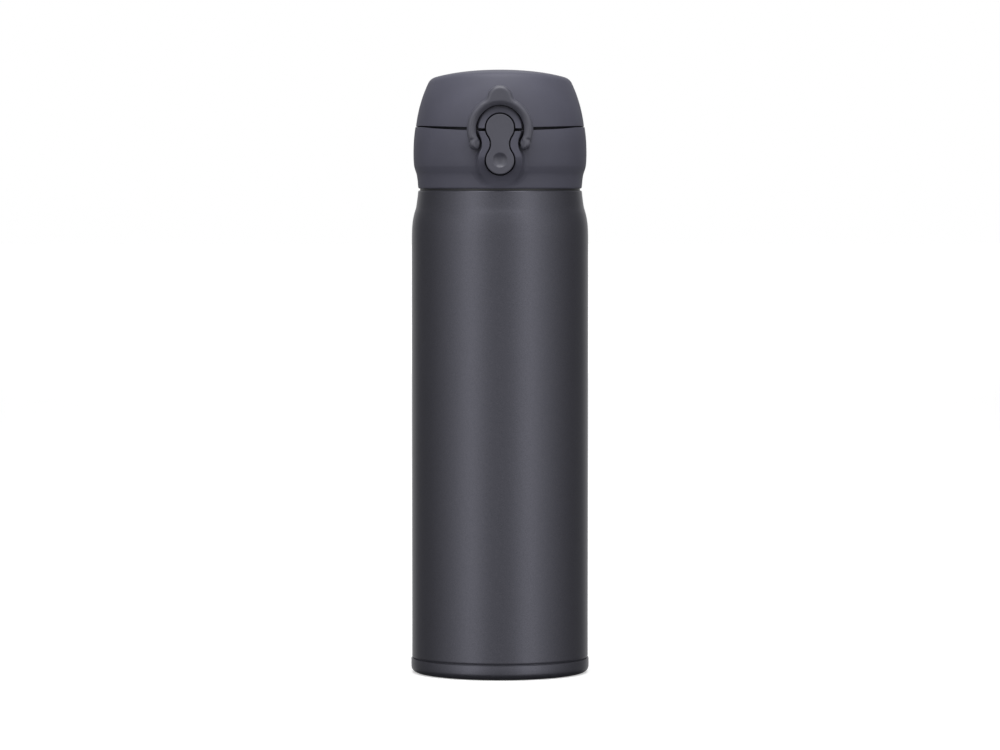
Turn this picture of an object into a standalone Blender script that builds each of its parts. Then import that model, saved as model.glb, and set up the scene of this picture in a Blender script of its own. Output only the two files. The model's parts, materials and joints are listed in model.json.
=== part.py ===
"""Vacuum flask with a one-touch drinking lid, as the separate pieces that it is made of.

Metres, +Z up. The flask stands on Z = 0 with its axis on Z. The open button and the lock ring face -Y
and the lid's hinge is at +Y. Heights above the steel bottle are measured from its top.
"""

import math

import bmesh
import bpy
from mathutils import Matrix, Vector

# Steel bottle
BARREL_RADIUS = 0.0322
BOTTLE_HEIGHT = 0.1763
SHOULDER_HEIGHT = 0.015
SHOULDER_INSET = 0.0023
OUTER_WALL = 0.00035
TOP_EDGE_ROUND = 0.0007
FOOT_RING_OVERHANG = 0.0003
FOOT_RING_HEIGHT = 0.0054
FOOT_ROUND = 0.0020
FOOT_FACE_WIDTH = 0.0024
BASE_RECESS = 0.0026
BASE_SHEET = 0.0005
BASE_LIP_HEIGHT = 0.0036
VACUUM_GAP = 0.00110
INNER_WALL = 0.0003
INNER_BASE_HEIGHT = 0.0066
INNER_BASE_LIP = 0.0050
FOIL_THICKNESS = 0.00015
NECK_RADIUS = 0.0206
NECK_WALL = 0.0004
NECK_DEPTH = 0.0170
SEAT_WIDTH = 0.0030
NECK_FLARE_HEIGHT = 0.0130
PLUG_RADIUS = 0.0021
GETTER_RADIUS = 0.0030
GETTER_OFFSET = 0.0120

# Screw thread between bottle and stopper: two starts, half-round ridges
THREAD_STARTS = 2
THREAD_LEAD = 0.0090
THREAD_RIDGE = 0.0008
THREAD_TURNS = 0.55
THREAD_DEPTH = 0.0112
THREAD_CLEARANCE = 0.0004

# Stopper
JOINT_GAP = 0.0007
CAP_HEIGHT = 0.02305
CAP_WALL = 0.0017
CAP_LOW_INSET = 0.0001
CREASE_HEIGHT = 0.0087
CREASE_FLARE = 0.00143
CAP_BULGE_HEIGHT = 0.0139
CAP_BULGE = 0.0017
CAP_TOP_FLARE = 0.0010
DECK_HEIGHT = 0.0205
DECK_THICKNESS = 0.0016
FLOOR_HEIGHT = 0.0010
PLASTIC_WALL = 0.0016
BORE_RADIUS = 0.0105
SPOUT_WALL = 0.0017
SPOUT_LIP = 0.0009
SPOUT_HEIGHT = 0.0317
GASKET_HEIGHT = 0.0030
GASKET_WIDTH = 0.0038

# Lid
LID_SIDE_CURVE = 0.0505
LID_SIDE_TURN_IN = 0.0055
LID_CORNER_HEIGHT = 0.0164
LID_DOME_HEIGHT = 0.0206
LID_WALL = 0.0018
LID_INSET = 0.0003
LID_ARCH = 0.0019
LID_ARCH_START = 0.0076
PARTING_FLAT_END = -0.011
PARTING_FALL = 0.081
LINER_WALL = 0.0016
LINER_DROP = 0.0060
LID_GASKET_HEIGHT = 0.0020
LID_GASKET_WIDTH = 0.0046

# Latch: two-lobed button on a bezel, with the lock ring round it
LOBE_RADIUS = 0.00505
LOBE_SPACING = 0.01155
BUTTON_WAIST = 0.00325
UPPER_LOBE_ABOVE_PARTING = -0.0007
BEZEL_LOBE_RADIUS = 0.00788
BEZEL_WAIST = 0.0066
BUTTON_GAP = 0.0004
BEZEL_PROUD = 0.0026
BOSS_PROUD = 0.0026
BUTTON_PROUD = 0.0003
BUTTON_THICKNESS = 0.0036
DIMPLE_RADIUS = 0.00245
DIMPLE_DEPTH = 0.0010
POCKET_DEPTH = 0.0063
POCKET_FLOOR = 0.0013
BUTTON_PIN_RADIUS = 0.0008
BUTTON_PIN_DEPTH = 0.0022
RING_RADIUS = 0.0119
RING_BORE = 0.0086
RING_THICKNESS = 0.0026
RING_CENTRE_RISE = 0.0052
RING_TAB_RADIUS = 0.0046
RING_TAB_RISE = 0.0210
RING_FILLET = 0.0030
RING_KNUCKLE_RADIUS = 0.0019
RING_END_DROP = 0.0012
RING_SWING_HEIGHT = 0.0030
RING_STUB_RADIUS = 0.0009
BUTTON_SPRING_RADIUS = 0.00175
BUTTON_SPRING_WIRE = 0.00025
BUTTON_SPRING_TURNS = 3.5

# Lid hinge
HINGE_STAND_OFF = 0.0027
HINGE_HEIGHT = 0.0001
KNUCKLE_RADIUS = 0.0030
KNUCKLE_HALF_WIDTH = 0.0069
EAR_WIDTH = 0.0030
HINGE_PIN_RADIUS = 0.0010
SPRING_POCKET_HALF_WIDTH = 0.0036
LID_SPRING_RADIUS = 0.00185
LID_SPRING_WIRE = 0.0003
LID_SPRING_TURNS = 5.0

FIT_GAP = 0.0003
STEPS = 40
THREAD_STEPS = 30

# ------------------------------------------------------------------ sizes worked out from those above
SHOULDER_TOP_RADIUS = BARREL_RADIUS - SHOULDER_INSET
SHELL_BORE = BARREL_RADIUS - OUTER_WALL
VESSEL_RADIUS = SHELL_BORE - VACUUM_GAP
VESSEL_BORE = VESSEL_RADIUS - INNER_WALL
SEAT_RADIUS = NECK_RADIUS - SEAT_WIDTH
BARREL_OF_STOPPER = NECK_RADIUS - THREAD_RIDGE - THREAD_CLEARANCE
STOPPER_BOTTOM = BOTTLE_HEIGHT - NECK_DEPTH - 0.0014
GROOVE_BOTTOM = STOPPER_BOTTOM + PLASTIC_WALL
PARTING_Z = BOTTLE_HEIGHT + CAP_HEIGHT
CAP_LOW_RADIUS = SHOULDER_TOP_RADIUS - CAP_LOW_INSET
CAP_RADIUS = CAP_LOW_RADIUS + CAP_BULGE
CAP_TOP_RADIUS = CAP_LOW_RADIUS + CAP_TOP_FLARE
LID_RADIUS = CAP_TOP_RADIUS - LID_INSET
LID_BOTTOM = PARTING_Z + FIT_GAP
SPOUT_TOP = BOTTLE_HEIGHT + SPOUT_HEIGHT
SPOUT_RADIUS = BORE_RADIUS + SPOUT_WALL
DECK_Z = BOTTLE_HEIGHT + DECK_HEIGHT
UPPER_LOBE_Z = PARTING_Z + UPPER_LOBE_ABOVE_PARTING
LOWER_LOBE_Z = UPPER_LOBE_Z - LOBE_SPACING
PIVOT_Z = (UPPER_LOBE_Z + LOWER_LOBE_Z) / 2
BEZEL_FACE_Y = -CAP_RADIUS - BEZEL_PROUD
BOSS_FACE_Y = -LID_RADIUS - BOSS_PROUD
BUTTON_FACE_Y = BEZEL_FACE_Y - BUTTON_PROUD
BUTTON_BACK_Y = BUTTON_FACE_Y + BUTTON_THICKNESS
BUTTON_PIN_Y = BUTTON_FACE_Y + BUTTON_PIN_DEPTH
POCKET_FLOOR_Y = BUTTON_FACE_Y + POCKET_DEPTH
RING_BACK_Y = BOSS_FACE_Y - FIT_GAP
RING_PIVOT_Y = BEZEL_FACE_Y + RING_STUB_RADIUS + 0.0001
HINGE_Y = CAP_TOP_RADIUS + HINGE_STAND_OFF
HINGE_Z = PARTING_Z + HINGE_HEIGHT
LINER_TOP = LID_BOTTOM + LID_CORNER_HEIGHT - LINER_DROP + PLASTIC_WALL
REACH = 0.1

for old in list(bpy.data.objects):
    bpy.data.objects.remove(old)

flask = bpy.data.collections.new("vacuum_flask")
tools = bpy.data.collections.new("cutters")
bpy.context.scene.collection.children.link(flask)
bpy.context.scene.collection.children.link(tools)


# ------------------------------------------------------------------ modelling helpers
def material(name, colour, roughness, metallic=0.0):
    made = bpy.data.materials.new(name)
    made.use_nodes = True
    shader = made.node_tree.nodes["Principled BSDF"]
    shader.inputs["Base Color"].default_value = (*colour, 1.0)
    shader.inputs["Roughness"].default_value = roughness
    shader.inputs["Metallic"].default_value = metallic
    return made


def node(name, data, finish=None):
    """An object that is part of the flask."""
    made = bpy.data.objects.new(name, data)
    flask.objects.link(made)
    if finish:
        data.materials.append(material(name, *finish))
    return made


def tool(name, data):
    """A guide or cutter that only shapes other pieces."""
    made = bpy.data.objects.new(name, data)
    tools.objects.link(made)
    made.hide_render = True
    made.display_type = "WIRE"
    return made


def boolean(obj, other, operation):
    made = obj.modifiers.new(other.name, "BOOLEAN")
    made.operation = operation
    made.object = other
    made.solver = "EXACT"


def cut(obj, *others):
    for other in others:
        boolean(obj, other, "DIFFERENCE")


def join(obj, *others):
    for other in others:
        boolean(obj, other, "UNION")


def profile_mesh(name, profile):
    """The outline of a turned piece. One that starts on the axis also ends there, any other is closed."""
    mesh = bpy.data.meshes.new(name)
    shape = bmesh.new()
    points = [shape.verts.new((radius, 0.0, height)) for radius, height in profile]
    closing = [] if profile[0][0] == 0.0 else points[:1]
    for pair in zip(points, points[1:] + closing):
        shape.edges.new(pair)
    shape.to_mesh(mesh)
    shape.free()
    return mesh


def turn(obj, steps=STEPS):
    screw = obj.modifiers.new("turn", "SCREW")
    screw.angle = math.tau
    screw.steps = steps
    screw.render_steps = steps
    screw.use_merge_vertices = True
    screw.merge_threshold = 0.00001


def turned(name, profile, finish, steps=STEPS):
    """A solid of revolution about Z whose profile runs down its outer side."""
    made = node(name, profile_mesh(name, profile), finish)
    turn(made, steps)
    return made


def evaluated_mesh(obj):
    graph = bpy.context.evaluated_depsgraph_get()
    return bpy.data.meshes.new_from_object(obj.evaluated_get(graph))


def welded(mesh, matrix):
    """Closes the caps of a mesh that came from a curve and puts it in place."""
    shape = bmesh.new()
    shape.from_mesh(mesh)
    bmesh.ops.remove_doubles(shape, verts=shape.verts, dist=0.000001)
    bmesh.ops.transform(shape, matrix=matrix, verts=shape.verts)
    bmesh.ops.recalc_face_normals(shape, faces=shape.faces)
    shape.to_mesh(mesh)
    shape.free()
    return mesh


def from_curve(curve, matrix):
    """The welded mesh of a curve, whose object is removed."""
    holder = bpy.data.objects.new(curve.name, curve)
    tools.objects.link(holder)
    mesh = evaluated_mesh(holder)
    bpy.data.objects.remove(holder)
    return welded(mesh, matrix)


def outline_curve(name, outline, thickness):
    curve = bpy.data.curves.new(name, "CURVE")
    curve.dimensions = "2D"
    curve.fill_mode = "BOTH"
    curve.extrude = thickness / 2
    spline = curve.splines.new("POLY")
    spline.points.add(len(outline) - 1)
    for point, (across, up) in zip(spline.points, outline):
        point.co = (across, up, 0.0, 1.0)
    spline.use_cyclic_u = True
    return curve


def front_plate(name, outline, low_y, high_y):
    """The mesh of an outline in X and Z, between two depths."""
    middle = Matrix.Translation((0.0, (low_y + high_y) / 2, 0.0))
    curve = outline_curve(name, outline, high_y - low_y)
    return from_curve(curve, middle @ Matrix.Rotation(math.pi / 2, 4, "X"))


def side_plate(name, outline, low_x, high_x):
    """The mesh of an outline in Y and Z, between two widths."""
    turned_axes = Matrix(((0, 0, 1, (low_x + high_x) / 2), (1, 0, 0, 0), (0, 1, 0, 0), (0, 0, 0, 1)))
    return from_curve(outline_curve(name, outline, high_x - low_x), turned_axes)


def rod_mesh(name, radius, start, end, steps=16):
    """A cylinder between two points."""
    start, end = Vector(start), Vector(end)
    along = end - start
    place = Matrix.Translation((start + end) / 2) @ along.to_track_quat("Z", "Y").to_matrix().to_4x4()
    mesh = bpy.data.meshes.new(name)
    shape = bmesh.new()
    bmesh.ops.create_cone(
        shape, cap_ends=True, segments=steps, radius1=radius, radius2=radius, depth=along.length, matrix=place
    )
    shape.to_mesh(mesh)
    shape.free()
    return mesh


def cross_rod(name, radius, low_x, high_x, y, z, steps=16):
    return rod_mesh(name, radius, (low_x, y, z), (high_x, y, z), steps)


def box_mesh(name, low, high):
    low, high = Vector(low), Vector(high)
    mesh = bpy.data.meshes.new(name)
    shape = bmesh.new()
    place = Matrix.Translation((low + high) / 2) @ Matrix.Diagonal((*(high - low), 1.0))
    bmesh.ops.create_cube(shape, size=1.0, matrix=place)
    shape.to_mesh(mesh)
    shape.free()
    return mesh


def wire_curve(name, points, radius, resolution=2):
    curve = bpy.data.curves.new(name, "CURVE")
    curve.dimensions = "3D"
    curve.bevel_depth = radius
    curve.bevel_resolution = resolution
    curve.use_fill_caps = True
    spline = curve.splines.new("POLY")
    spline.points.add(len(points) - 1)
    for point, place in zip(spline.points, points):
        point.co = (*place, 1.0)
    return curve


def arc(centre, radius, start, end, count):
    """Points along an arc, angles in radians from the first axis."""
    step = (end - start) / count
    return [
        (
            centre[0] + radius * math.cos(start + step * index),
            centre[1] + radius * math.sin(start + step * index),
        )
        for index in range(count + 1)
    ]


def two_lobes(low_z, low_radius, high_z, high_radius, fillet, count=6):
    """An outline of two round lobes, one above the other, blended by concave arcs."""
    apart = high_z - low_z
    reach_low = low_radius + fillet
    reach_high = high_radius + fillet
    rise = (apart**2 + reach_low**2 - reach_high**2) / (2 * apart)
    side = math.sqrt(reach_low**2 - rise**2)
    waist = (side, low_z + rise)
    low_angle = math.atan2(rise, side)
    high_angle = math.atan2(rise - apart, side)
    half = math.pi / 2
    right = arc((0.0, low_z), low_radius, -half, low_angle, 2 * count)
    right += arc(waist, fillet, math.pi + low_angle, math.pi + high_angle, count)[1:-1]
    right += arc((0.0, high_z), high_radius, high_angle, half, 2 * count)
    left = [(-across, up) for across, up in reversed(right[1:-1])]
    return right + left


def waist_fillet(lobe, waist):
    """The radius of the concave arcs that leave the given half-width between two equal lobes."""
    return (lobe**2 - waist**2 - (LOBE_SPACING / 2) ** 2) / (2 * (waist - lobe))


def latch_outline(lobe, waist):
    return two_lobes(LOWER_LOBE_Z, lobe, UPPER_LOBE_Z, lobe, waist_fillet(lobe, waist))


def smooth_step(share):
    return share * share * (3 - 2 * share)


def offset_profile(profile, wall):
    """A curve's points moved towards the axis by a wall, along each point's normal."""
    moved = []
    for index, (radius, height) in enumerate(profile):
        before = profile[max(index - 1, 0)]
        after = profile[min(index + 1, len(profile) - 1)]
        run = Vector((after[0] - before[0], after[1] - before[1])).normalized()
        moved.append((max(radius + run.y * wall, 0.0), height - run.x * wall))
    return moved


# ------------------------------------------------------------------ finishes: colour, roughness, metallic
STEEL_PAINT = ((0.055, 0.055, 0.065), 0.38, 0.85)
BARE_STEEL = ((0.55, 0.55, 0.56), 0.30, 1.0)
ALUMINIUM_FOIL = ((0.80, 0.80, 0.82), 0.30, 1.0)
CAP_PLASTIC = ((0.085, 0.085, 0.105), 0.50)
INNER_PLASTIC = ((0.025, 0.025, 0.028), 0.45)
SILICONE = ((0.60, 0.60, 0.58), 0.60)
LATCH_PLASTIC = ((0.080, 0.080, 0.095), 0.45)
SPRING_STEEL = ((0.60, 0.60, 0.62), 0.25, 1.0)


# ------------------------------------------------------------------ steel bottle
def shoulder_points():
    """The shoulder's outer curve, from its narrow top down to the barrel."""
    low = BOTTLE_HEIGHT - SHOULDER_HEIGHT
    top = BOTTLE_HEIGHT - TOP_EDGE_ROUND
    count = 6
    points = []
    for index in range(count + 1):
        share = index / count
        points.append((SHOULDER_TOP_RADIUS + SHOULDER_INSET * smooth_step(share), top + (low - top) * share))
    return points


def make_outer_shell():
    shoulder = shoulder_points()
    inner_edge = NECK_RADIUS + NECK_WALL + FIT_GAP
    edge = (SHOULDER_TOP_RADIUS - TOP_EDGE_ROUND, BOTTLE_HEIGHT)
    bottom = FOOT_RING_HEIGHT + FIT_GAP
    outer = [(inner_edge, BOTTLE_HEIGHT), edge, *shoulder, (BARREL_RADIUS, bottom)]
    inner = [(SHELL_BORE, bottom)]
    inner += [(radius - OUTER_WALL, height) for radius, height in reversed(shoulder)]
    inner += [(edge[0] - OUTER_WALL / 2, BOTTLE_HEIGHT - OUTER_WALL), (inner_edge, BOTTLE_HEIGHT - OUTER_WALL)]
    return turned("outer_shell", outer + inner, STEEL_PAINT)


def neck_profile():
    """The inner vessel's outer surface, from the mouth down over the gasket seat to the barrel."""
    seat_z = BOTTLE_HEIGHT - NECK_DEPTH
    neck = NECK_RADIUS + NECK_WALL
    seat = SEAT_RADIUS + NECK_WALL
    flare_z = seat_z - 0.0024
    spread = VESSEL_RADIUS - seat
    flare = [
        (seat + spread * smooth_step(share) ** 0.5, flare_z - NECK_FLARE_HEIGHT * share)
        for share in (0.0, 0.06, 0.25, 0.55, 1.0)
    ]
    return [
        (neck, BOTTLE_HEIGHT - OUTER_WALL / 2),
        (neck, seat_z + 0.0002),
        (neck - 0.0004, seat_z - NECK_WALL),
        (seat, seat_z - NECK_WALL),
        *flare,
    ]


def thread_ridges(name, radius, middle_z):
    """One half-round ridge for each start of the thread, rising anticlockwise as a right-hand thread does."""
    made = []
    count = round(THREAD_TURNS * THREAD_STEPS)
    for start in range(THREAD_STARTS):
        points = []
        for index in range(count + 1):
            turns = index / THREAD_STEPS
            angle = math.tau * (turns + start / THREAD_STARTS) + math.pi / STEPS
            height = middle_z + THREAD_LEAD * (turns - THREAD_TURNS / 2)
            points.append((radius * math.cos(angle), radius * math.sin(angle), height))
        label = f"{name}_{start + 1}"
        made.append(tool(label, from_curve(wire_curve(label, points, THREAD_RIDGE), Matrix())))
    return made


def make_inner_vessel():
    outside = neck_profile()
    bottom = FOOT_RING_HEIGHT
    inside = [
        (radius - (NECK_WALL if index < 4 else INNER_WALL), height + (NECK_WALL if 2 <= index < 4 else 0.0))
        for index, (radius, height) in enumerate(outside)
    ]
    profile = [*outside, (VESSEL_RADIUS, bottom), (VESSEL_BORE, bottom), *reversed(inside)]
    made = turned("inner_vessel", profile, BARE_STEEL)
    join(made, *thread_ridges("neck_thread", NECK_RADIUS, BOTTLE_HEIGHT - THREAD_DEPTH))
    return made


def make_inner_base():
    rim = VESSEL_BORE - FIT_GAP
    wall = BASE_SHEET * 0.8
    low = INNER_BASE_HEIGHT
    upper = [(0.0, low + wall), (rim - 0.0045, low + wall), (rim - 0.0012, low + 0.0018), (rim - wall, low + 0.0036)]
    top = low + INNER_BASE_LIP
    lower = [(rim, low + 0.0033), (rim - 0.0009, low + 0.0014), (rim - 0.0043, low), (0.0, low)]
    return turned("inner_base", [*upper, (rim - wall, top), (rim, top), *lower], BARE_STEEL)


def make_radiation_foil():
    inside = VESSEL_RADIUS + FIT_GAP
    outside = inside + FOIL_THICKNESS
    top = BOTTLE_HEIGHT - NECK_DEPTH - NECK_FLARE_HEIGHT - 0.0060
    bottom = FOOT_RING_HEIGHT + BASE_LIP_HEIGHT + 0.0030
    profile = [(outside, top), (outside, bottom), (inside, bottom), (inside, top)]
    return turned("radiation_foil", profile, ALUMINIUM_FOIL)


def make_outer_base():
    ring = BARREL_RADIUS + FOOT_RING_OVERHANG
    lip = SHELL_BORE - FIT_GAP
    lip_top = FOOT_RING_HEIGHT + BASE_LIP_HEIGHT
    foot_outside = ring - FOOT_ROUND
    foot_inside = foot_outside - FOOT_FACE_WIDTH
    hole = PLUG_RADIUS + FIT_GAP
    roof = BASE_RECESS + BASE_SHEET
    outer = [
        (lip, lip_top),
        (lip, FOOT_RING_HEIGHT),
        (ring - 0.0002, FOOT_RING_HEIGHT),
        (ring, FOOT_RING_HEIGHT - 0.0003),
        (ring, FOOT_ROUND),
    ]
    outer += [
        (foot_outside + FOOT_ROUND * math.cos(angle), FOOT_ROUND - FOOT_ROUND * math.sin(angle))
        for angle in (math.radians(35), math.radians(65))
    ]
    inner = [
        (foot_outside, 0.0),
        (foot_inside, 0.0),
        (foot_inside - 0.0008, BASE_RECESS),
        (hole, BASE_RECESS),
        (hole, roof),
        (foot_inside - 0.0004, roof),
        (foot_inside + 0.0003, BASE_SHEET),
        (foot_outside - 0.0002, BASE_SHEET),
        (lip - BASE_SHEET, FOOT_ROUND),
        (lip - BASE_SHEET, lip_top),
    ]
    return turned("outer_base", outer + inner, STEEL_PAINT)


def make_evacuation_seal():
    low = BASE_RECESS - 0.0001
    high = BASE_RECESS + BASE_SHEET
    profile = [(0.0, high), (PLUG_RADIUS, high), (PLUG_RADIUS, low + 0.0002), (PLUG_RADIUS * 0.7, low), (0.0, low)]
    return turned("evacuation_seal", profile, BARE_STEEL, 16)


def make_getter():
    high = INNER_BASE_HEIGHT - FIT_GAP
    mesh = rod_mesh("getter", GETTER_RADIUS, (GETTER_OFFSET, 0.0, high - 0.0013), (GETTER_OFFSET, 0.0, high))
    return node("getter", mesh, BARE_STEEL)


# ------------------------------------------------------------------ stopper
def make_stopper_gasket():
    outside = BARREL_OF_STOPPER
    inside = outside - GASKET_WIDTH
    low = GROOVE_BOTTOM + FIT_GAP
    high = low + GASKET_HEIGHT
    middle = (low + high) / 2
    profile = [(outside - 0.0006, high), (outside, middle), (outside - 0.0006, low), (inside, low), (inside, high)]
    return turned("stopper_gasket", profile, SILICONE)


def make_spout_insert():
    """The moulding with the screw barrel, the bore and the drinking spout."""
    barrel = BARREL_OF_STOPPER
    groove = barrel - GASKET_WIDTH - FIT_GAP
    groove_top = GROOVE_BOTTOM + GASKET_HEIGHT + 2 * FIT_GAP
    toe = SEAT_RADIUS - THREAD_CLEARANCE
    lip = SPOUT_RADIUS + SPOUT_LIP
    floor = BOTTLE_HEIGHT + FLOOR_HEIGHT
    floor_rim = CAP_LOW_RADIUS - CAP_WALL - FIT_GAP
    profile = [
        (lip - 0.0005, SPOUT_TOP),
        (lip, SPOUT_TOP - 0.0006),
        (lip, SPOUT_TOP - 0.0022),
        (SPOUT_RADIUS, SPOUT_TOP - 0.0036),
        (SPOUT_RADIUS, groove_top + PLASTIC_WALL),
        (barrel - PLASTIC_WALL, groove_top + PLASTIC_WALL),
        (barrel - PLASTIC_WALL, floor + PLASTIC_WALL),
        (floor_rim, floor + PLASTIC_WALL),
        (floor_rim, floor),
        (barrel, floor),
        (barrel, groove_top),
        (groove, groove_top),
        (groove, GROOVE_BOTTOM),
        (toe, GROOVE_BOTTOM),
        (toe, STOPPER_BOTTOM),
        (BORE_RADIUS, STOPPER_BOTTOM),
        (BORE_RADIUS, SPOUT_TOP - 0.0005),
        (BORE_RADIUS + 0.0006, SPOUT_TOP),
    ]
    made = turned("spout_insert", profile, INNER_PLASTIC)
    pitch = THREAD_LEAD / THREAD_STARTS
    join(made, *thread_ridges("stopper_thread", barrel, BOTTLE_HEIGHT - THREAD_DEPTH + pitch / 2))
    return made


def cap_outline():
    """The cover's outer curve, from the parting line down: a soft bulge above a crease, and a narrower band."""
    bulge_z = BOTTLE_HEIGHT + CAP_BULGE_HEIGHT
    crease_z = BOTTLE_HEIGHT + CREASE_HEIGHT
    low_z = BOTTLE_HEIGHT + JOINT_GAP
    crease = CAP_LOW_RADIUS + CREASE_FLARE
    points = []
    for share in (0.0, 0.35, 0.7, 1.0):
        points.append((CAP_TOP_RADIUS + (CAP_RADIUS - CAP_TOP_RADIUS) * math.sin(share * math.pi / 2),
                       PARTING_Z + (bulge_z - PARTING_Z) * share))
    for share in (0.5, 1.0):
        points.append((crease + (CAP_RADIUS - crease) * math.cos(share * math.pi / 2),
                       bulge_z + (crease_z - bulge_z) * share))
    for share in (0.4, 0.8):
        points.append((crease - (crease - CAP_LOW_RADIUS) * math.sin(share * math.pi / 2),
                       crease_z + (low_z - crease_z) * share))
    points += [(CAP_LOW_RADIUS, low_z + 0.0005), (CAP_LOW_RADIUS - 0.0003, low_z)]
    return points


def parting_step(name, gap, above):
    """Everything on one side of the parting surface, which is flat at the hinge and falls towards the latch."""
    height = PARTING_Z + gap
    front = PARTING_FLAT_END - REACH
    edge = [(REACH, height), (PARTING_FLAT_END, height), (front, height - REACH * PARTING_FALL)]
    far = PARTING_Z + (REACH if above else -REACH)
    return tool(name, side_plate(name, [*edge, (front, far), (REACH, far)], -REACH, REACH))


def make_stopper_cover():
    outer = cap_outline()
    low_wall = CAP_LOW_RADIUS - CAP_WALL
    under_deck = DECK_Z - DECK_THICKNESS
    hole = SPOUT_RADIUS + SPOUT_LIP + FIT_GAP
    inner = [
        (low_wall, outer[-1][1]),
        (low_wall, BOTTLE_HEIGHT + FLOOR_HEIGHT + 2 * PLASTIC_WALL),
        (CAP_RADIUS - CAP_WALL - 0.0003, BOTTLE_HEIGHT + CREASE_HEIGHT + 0.001),
        (CAP_RADIUS - CAP_WALL - 0.0003, under_deck),
        (hole, under_deck),
        (hole, DECK_Z),
        (CAP_TOP_RADIUS - CAP_WALL, DECK_Z),
        (CAP_TOP_RADIUS - CAP_WALL, PARTING_Z),
    ]
    made = turned("stopper_cover", outer + inner, CAP_PLASTIC)

    back_y = POCKET_FLOOR_Y + POCKET_FLOOR
    block_top = DECK_Z - DECK_THICKNESS / 2
    block_bottom = LOWER_LOBE_Z - LOBE_RADIUS - BUTTON_GAP - POCKET_FLOOR
    block_y = -CAP_LOW_RADIUS + 0.0010
    half_width = LOBE_RADIUS + BUTTON_GAP + POCKET_FLOOR
    block = box_mesh("pocket_block", (-half_width, block_y, block_bottom), (half_width, back_y, block_top))
    bezel_outline = latch_outline(BEZEL_LOBE_RADIUS, BEZEL_WAIST)
    bezel = tool("bezel", front_plate("bezel", bezel_outline, BEZEL_FACE_Y, -CAP_LOW_RADIUS + CAP_WALL / 2))
    cut(bezel, bezel_slope())
    join(made, bezel, tool("pocket_block", block))
    cut(made, parting_step("above_cap", 0.0, True))
    pocket_outline = latch_outline(LOBE_RADIUS + BUTTON_GAP, BUTTON_WAIST + BUTTON_GAP)
    cut(made, tool("pocket", front_plate("pocket", pocket_outline, -REACH, POCKET_FLOOR_Y)))
    for side in (-1, 1):
        low, high = sorted((side * (BEZEL_WAIST - 0.0008), side * (BEZEL_WAIST + 0.0014)))
        stub = cross_rod("ring_stub", RING_STUB_RADIUS, low, high, RING_PIVOT_Y, PIVOT_Z)
        join(made, tool("ring_stub", stub))
    hole_reach = BEZEL_WAIST - 0.0007
    cut(made, tool("button_pin_hole", cross_rod(
        "button_pin_hole", BUTTON_PIN_RADIUS + FIT_GAP, -hole_reach, hole_reach, BUTTON_PIN_Y, PIVOT_Z)))
    add_hinge_ears(made)
    return made


def bezel_slope():
    """Trims the bezel's lower lobe so that it runs back into the cover."""
    start_z = LOWER_LOBE_Z
    end_z = LOWER_LOBE_Z - BEZEL_LOBE_RADIUS
    slope = [(BEZEL_FACE_Y, start_z), (-CAP_LOW_RADIUS, end_z), (-CAP_LOW_RADIUS, end_z - 0.01)]
    slope += [(-REACH, end_z - 0.01), (-REACH, start_z)]
    return tool("bezel_slope", side_plate("bezel_slope", slope, -REACH, REACH))


def add_hinge_ears(cover):
    """Two ears on the cover's back, a hole for the pin, and room for the lid's knuckle between them."""
    knuckle = KNUCKLE_RADIUS + FIT_GAP
    cut(cover, tool("knuckle_room", cross_rod(
        "knuckle_room", knuckle, -KNUCKLE_HALF_WIDTH - FIT_GAP, KNUCKLE_HALF_WIDTH + FIT_GAP, HINGE_Y, HINGE_Z, 24)))
    root_y = CAP_TOP_RADIUS - CAP_WALL
    ear = [(root_y, HINGE_Z - 0.0010), (root_y, HINGE_Z - 0.0095), (root_y + 0.0013, HINGE_Z - 0.0095)]
    ear += arc((HINGE_Y, HINGE_Z), KNUCKLE_RADIUS, math.radians(-35), math.radians(200), 12)
    for side in (-1, 1):
        low_x, high_x = sorted((side * (KNUCKLE_HALF_WIDTH + FIT_GAP), side * (KNUCKLE_HALF_WIDTH + EAR_WIDTH)))
        join(cover, tool("ear", side_plate("ear", ear, low_x, high_x)))
    reach = KNUCKLE_HALF_WIDTH + EAR_WIDTH + 0.001
    cut(cover, tool("ear_hole", cross_rod(
        "ear_hole", HINGE_PIN_RADIUS + FIT_GAP, -reach, reach, HINGE_Y, HINGE_Z)))


def make_hinge_pin():
    reach = KNUCKLE_HALF_WIDTH + EAR_WIDTH - 0.0002
    mesh = cross_rod("hinge_pin", HINGE_PIN_RADIUS, -reach, reach, HINGE_Y, HINGE_Z)
    return node("hinge_pin", mesh, SPRING_STEEL)


def make_lid_spring():
    """The torsion spring round the hinge pin, with one leg towards the cover and one towards the lid."""
    half_width = SPRING_POCKET_HALF_WIDTH - 0.0006
    count = round(LID_SPRING_TURNS * 10)
    leg = 0.0024
    points = [(-half_width, HINGE_Y - leg, HINGE_Z - LID_SPRING_RADIUS)]
    for index in range(count + 1):
        share = index / count
        angle = -math.pi / 2 + math.tau * share * (LID_SPRING_TURNS + 0.5)
        points.append((
            -half_width + 2 * half_width * share,
            HINGE_Y + LID_SPRING_RADIUS * math.cos(angle),
            HINGE_Z + LID_SPRING_RADIUS * math.sin(angle),
        ))
    points.append((half_width, HINGE_Y - leg, HINGE_Z + LID_SPRING_RADIUS))
    return node("lid_spring", wire_curve("lid_spring", points, LID_SPRING_WIRE, 1), SPRING_STEEL)


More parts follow.
